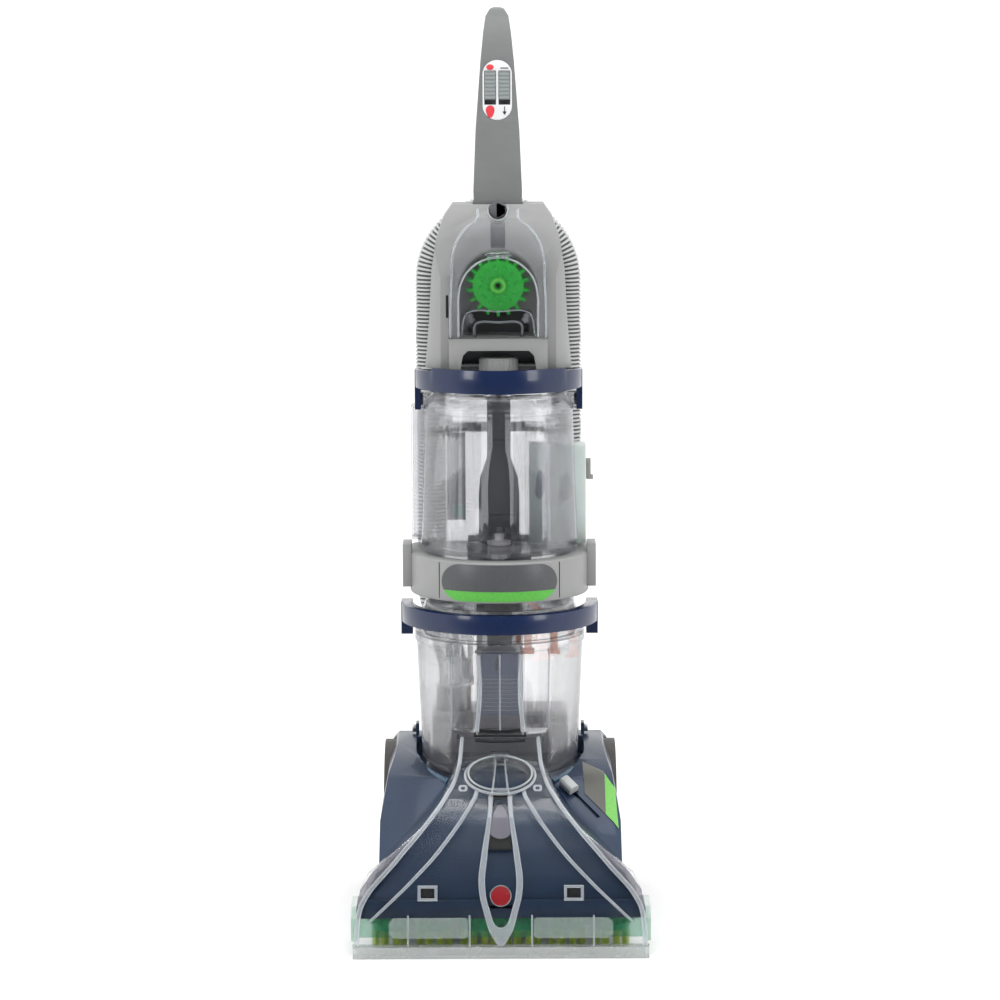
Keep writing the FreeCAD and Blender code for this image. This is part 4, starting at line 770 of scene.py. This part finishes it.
bpy.ops.object.select_all(action="DESELECT")
bpy.ops.mesh.primitive_torus_add(major_radius=7.4 * MM, minor_radius=2.6 * MM, major_segments=40, minor_segments=12,
                                 location=(0, -18.6 * MM, 801 * MM), rotation=(math.pi / 2, 0, 0))
hub = bpy.context.view_layer.objects.active
bpy.ops.object.shade_smooth()
hand_over(hub, "hand_brush_hub", BODY_OF["hand_tool_brush"], LIME)
mouth_back = cut_plate("mouth_back", [[(-56, 668), (-56, 744), (56, 744), (56, 668)]], 2.0, 0.5, smooth=False)
set_back(mouth_back, 31)
hand_over(mouth_back, "mouth_back", "upright", DUCT)

door_edge = [(-49.2, 740), (-49.2, 775), (-49, 789)]
for step in range(1, 8):
    turn = math.pi * (1 - step / 8)
    door_edge.append((49 * math.cos(turn), 789 + 49 * math.sin(turn)))
door_edge += [(49, 789), (49.2, 775), (49.2, 740)]
bead("door_edge", [(x, -39.4, z) for x, z in door_edge], 1.2, "tool_door", EDGE)
guard = [(-45, 741), (-41, 764), (-37, 769), (0, 770), (37, 769), (41, 764), (45, 741)]
bead("tool_guard", [(x, -27.4, z) for x, z in guard], 0.9, "upright", EDGE)
clip = [(-29, 741), (-29, 753), (-26, 756), (0, 756.5), (26, 756), (29, 753), (29, 741)]
bead("tool_clip_edge", [(x, -26.6, z) for x, z in clip], 1.3, "upright", EDGE)
bead("bolt_collar", [(x, shoulder_y(z) - 0.4, z) for x, z in ((-12.5, 898), (-12.5, 892), (-9, 884), (0, 880.5),
                                                                (9, 884), (12.5, 892), (12.5, 898))], 1.0, "upright",
     EDGE)
# A black strip drawn on the housing at the cover's catch slot: painted shade of the opening.
catch_slot = cut_plate("cover_catch_slot_shade", [[(-65, 762), (-65, 790), (-62, 790), (-62, 762)]], 1.2, 0.4, smooth=False)
set_back(catch_slot, -22.3)
hand_over(catch_slot, "cover_catch_slot_shade", "upright", BLACK)
channel = cut_plate("shoulder_channel", [[(-9, 846), (-9, 878), (9, 878), (9, 846)]], 1.0, 0.3, smooth=False)
pick(channel)
bpy.ops.object.mode_set(mode="EDIT")
bpy.ops.mesh.select_all(action="SELECT")
bpy.ops.mesh.bisect(plane_co=(0, 0, 862 * MM), plane_no=(0, 0, 1))
bpy.ops.object.mode_set(mode="OBJECT")
for corner in channel.data.vertices:
    corner.co.y += (shoulder_y(corner.co.z / MM) - 0.3) * MM
hand_over(channel, "shoulder_channel", "upright", DUCT)

PLATE_PLACE = Vector((0, 55.9, 1040)) * MM
PLATE_LEAN = math.radians(-16.2)


def plate_mark(name, outline, finish, smooth=True):
    """A thin printed mark on the switch plate, drawn as (x, z) in the plate's own face."""
    mark = cut_plate(name, [outline], 0.5, 0.1, smooth=smooth)
    set_back(mark, -0.1)
    mark.matrix_world = Matrix.Translation(PLATE_PLACE) @ Matrix.Rotation(PLATE_LEAN, 4, "X")
    hand_over(mark, name, "upright", finish)


plate_mark("mark_on", [(-9 + 4.6 * math.cos(a), 30 + 3.6 * math.sin(a)) for a in
                       [math.pi * k / 6 for k in range(12)]], MARK_RED)
plate_mark("mark_off", [(-12.6, -20.5), (-5.4, -20.5), (-5, -31), (-9, -35), (-13, -31)], MARK_RED)
plate_mark("mark_arrow_stem", [(8.5, -20.5), (9.5, -20.5), (9.5, -28), (8.5, -28)], MARK_BLACK, smooth=False)
plate_mark("mark_arrow_head", [(6.4, -27), (11.6, -27), (9, -31.5)], MARK_BLACK, smooth=False)
plate_mark("mark_bar", [(4, 28.2), (14, 28.2), (14, 29.4), (4, 29.4)], MARK_BLACK, smooth=False)

# ---------------------------------------------------------------- studio
bpy.ops.object.select_all(action="DESELECT")
FLOOR_RADIUS = 260.0
bpy.ops.mesh.primitive_circle_add(vertices=96, radius=FLOOR_RADIUS, fill_type="NGON")
floor = bpy.context.view_layer.objects.active
floor.name = "floor"
paper, paper_tree, paper_where = start_finish("seamless_paper_white")
fibre = add_node(paper_tree, "ShaderNodeTexNoise", {"Vector": paper_where, "Scale": 40.0, "Detail": 2.0})
pale = add_node(paper_tree, "ShaderNodeMix", {SHARE: fibre.outputs[0], FIRST: linear("F7F7F7"),
                                                   SECOND: linear("FBFBFB")},
                data_type="RGBA")
end_finish(paper_tree, {"Base Color": pale.outputs[BLEND], "Roughness": 0.7})
floor.data.materials.append(paper)
# Glossy parts don't mirror the paper, which would whiten their undersides.
floor.visible_glossy = False

# Soft tent: bright at the sides, behind and above, darker in front where the room is.
world = bpy.data.worlds.new("studio")
world.use_nodes = True
tent = world.node_tree
tent.nodes["Background"].inputs["Color"].default_value = linear("FFFFFF")
heading = add_node(tent, "ShaderNodeTexCoord").outputs["Generated"]
parts = add_node(tent, "ShaderNodeSeparateXYZ", {0: heading})
front = add_node(tent, "ShaderNodeMapRange", {"Value": parts.outputs["Y"], "From Min": -0.95, "From Max": -0.3,
                                              "To Min": 0.22, "To Max": 1.12}, interpolation_type="SMOOTHSTEP")
above = add_node(tent, "ShaderNodeMapRange", {"Value": parts.outputs["Z"], "From Min": 0.2, "From Max": 0.9,
                                              "To Min": 0.0, "To Max": 0.35}, interpolation_type="SMOOTHSTEP")
both = add_node(tent, "ShaderNodeMath", {0: front.outputs[0], 1: above.outputs[0]}, operation="ADD")
tent.links.new(both.outputs[0], tent.nodes["Background"].inputs["Strength"])
bpy.context.scene.world = world


def softbox(name, place, target, width, height, power):
    lamp = bpy.data.lights.new(name, "AREA")
    lamp.shape = "RECTANGLE"
    lamp.size, lamp.size_y, lamp.energy = width, height, power
    holder = bpy.data.objects.new(name, lamp)
    holder.location = place
    holder.rotation_euler = (Vector(target) - Vector(place)).to_track_quat("-Z", "Y").to_euler()
    bpy.context.scene.collection.objects.link(holder)


softbox("softbox_left", (-2.3, -2.6, 1.7), (0, 0, 0.55), 0.9, 2.2, 30)
softbox("softbox_right", (2.4, -2.2, 1.5), (0, 0, 0.55), 0.9, 2.2, 24)
softbox("softbox_top", (0, -0.6, 3.2), (0, 0, 0.4), 1.6, 1.6, 16)

# The camera stands 4.6 m away and 1.18 m up, and looks down by 8 degrees.
FOCAL_LENGTH = 132.84
EYE_PLACE = (0.0012, -4.588, 1.1814)
PITCH = math.radians(8.077)
ROLL = math.radians(-0.25)
lens = bpy.data.cameras.new("camera")
lens.lens = FOCAL_LENGTH
lens.sensor_width = 36.0
lens.clip_end = 600
eye = bpy.data.objects.new("camera", lens)
eye.location = EYE_PLACE
eye.rotation_euler = (Matrix.Rotation(math.pi / 2 - PITCH, 3, "X") @ Matrix.Rotation(ROLL, 3, "Z")).to_euler()
bpy.context.scene.collection.objects.link(eye)
bpy.context.scene.camera = eye
bpy.context.scene.view_settings.view_transform = "Standard"
# The clear tanks stand one behind another, so light passes many walls.
bpy.context.scene.cycles.max_bounces = 24
bpy.context.scene.cycles.transmission_bounces = 20
bpy.context.scene.cycles.transparent_max_bounces = 48
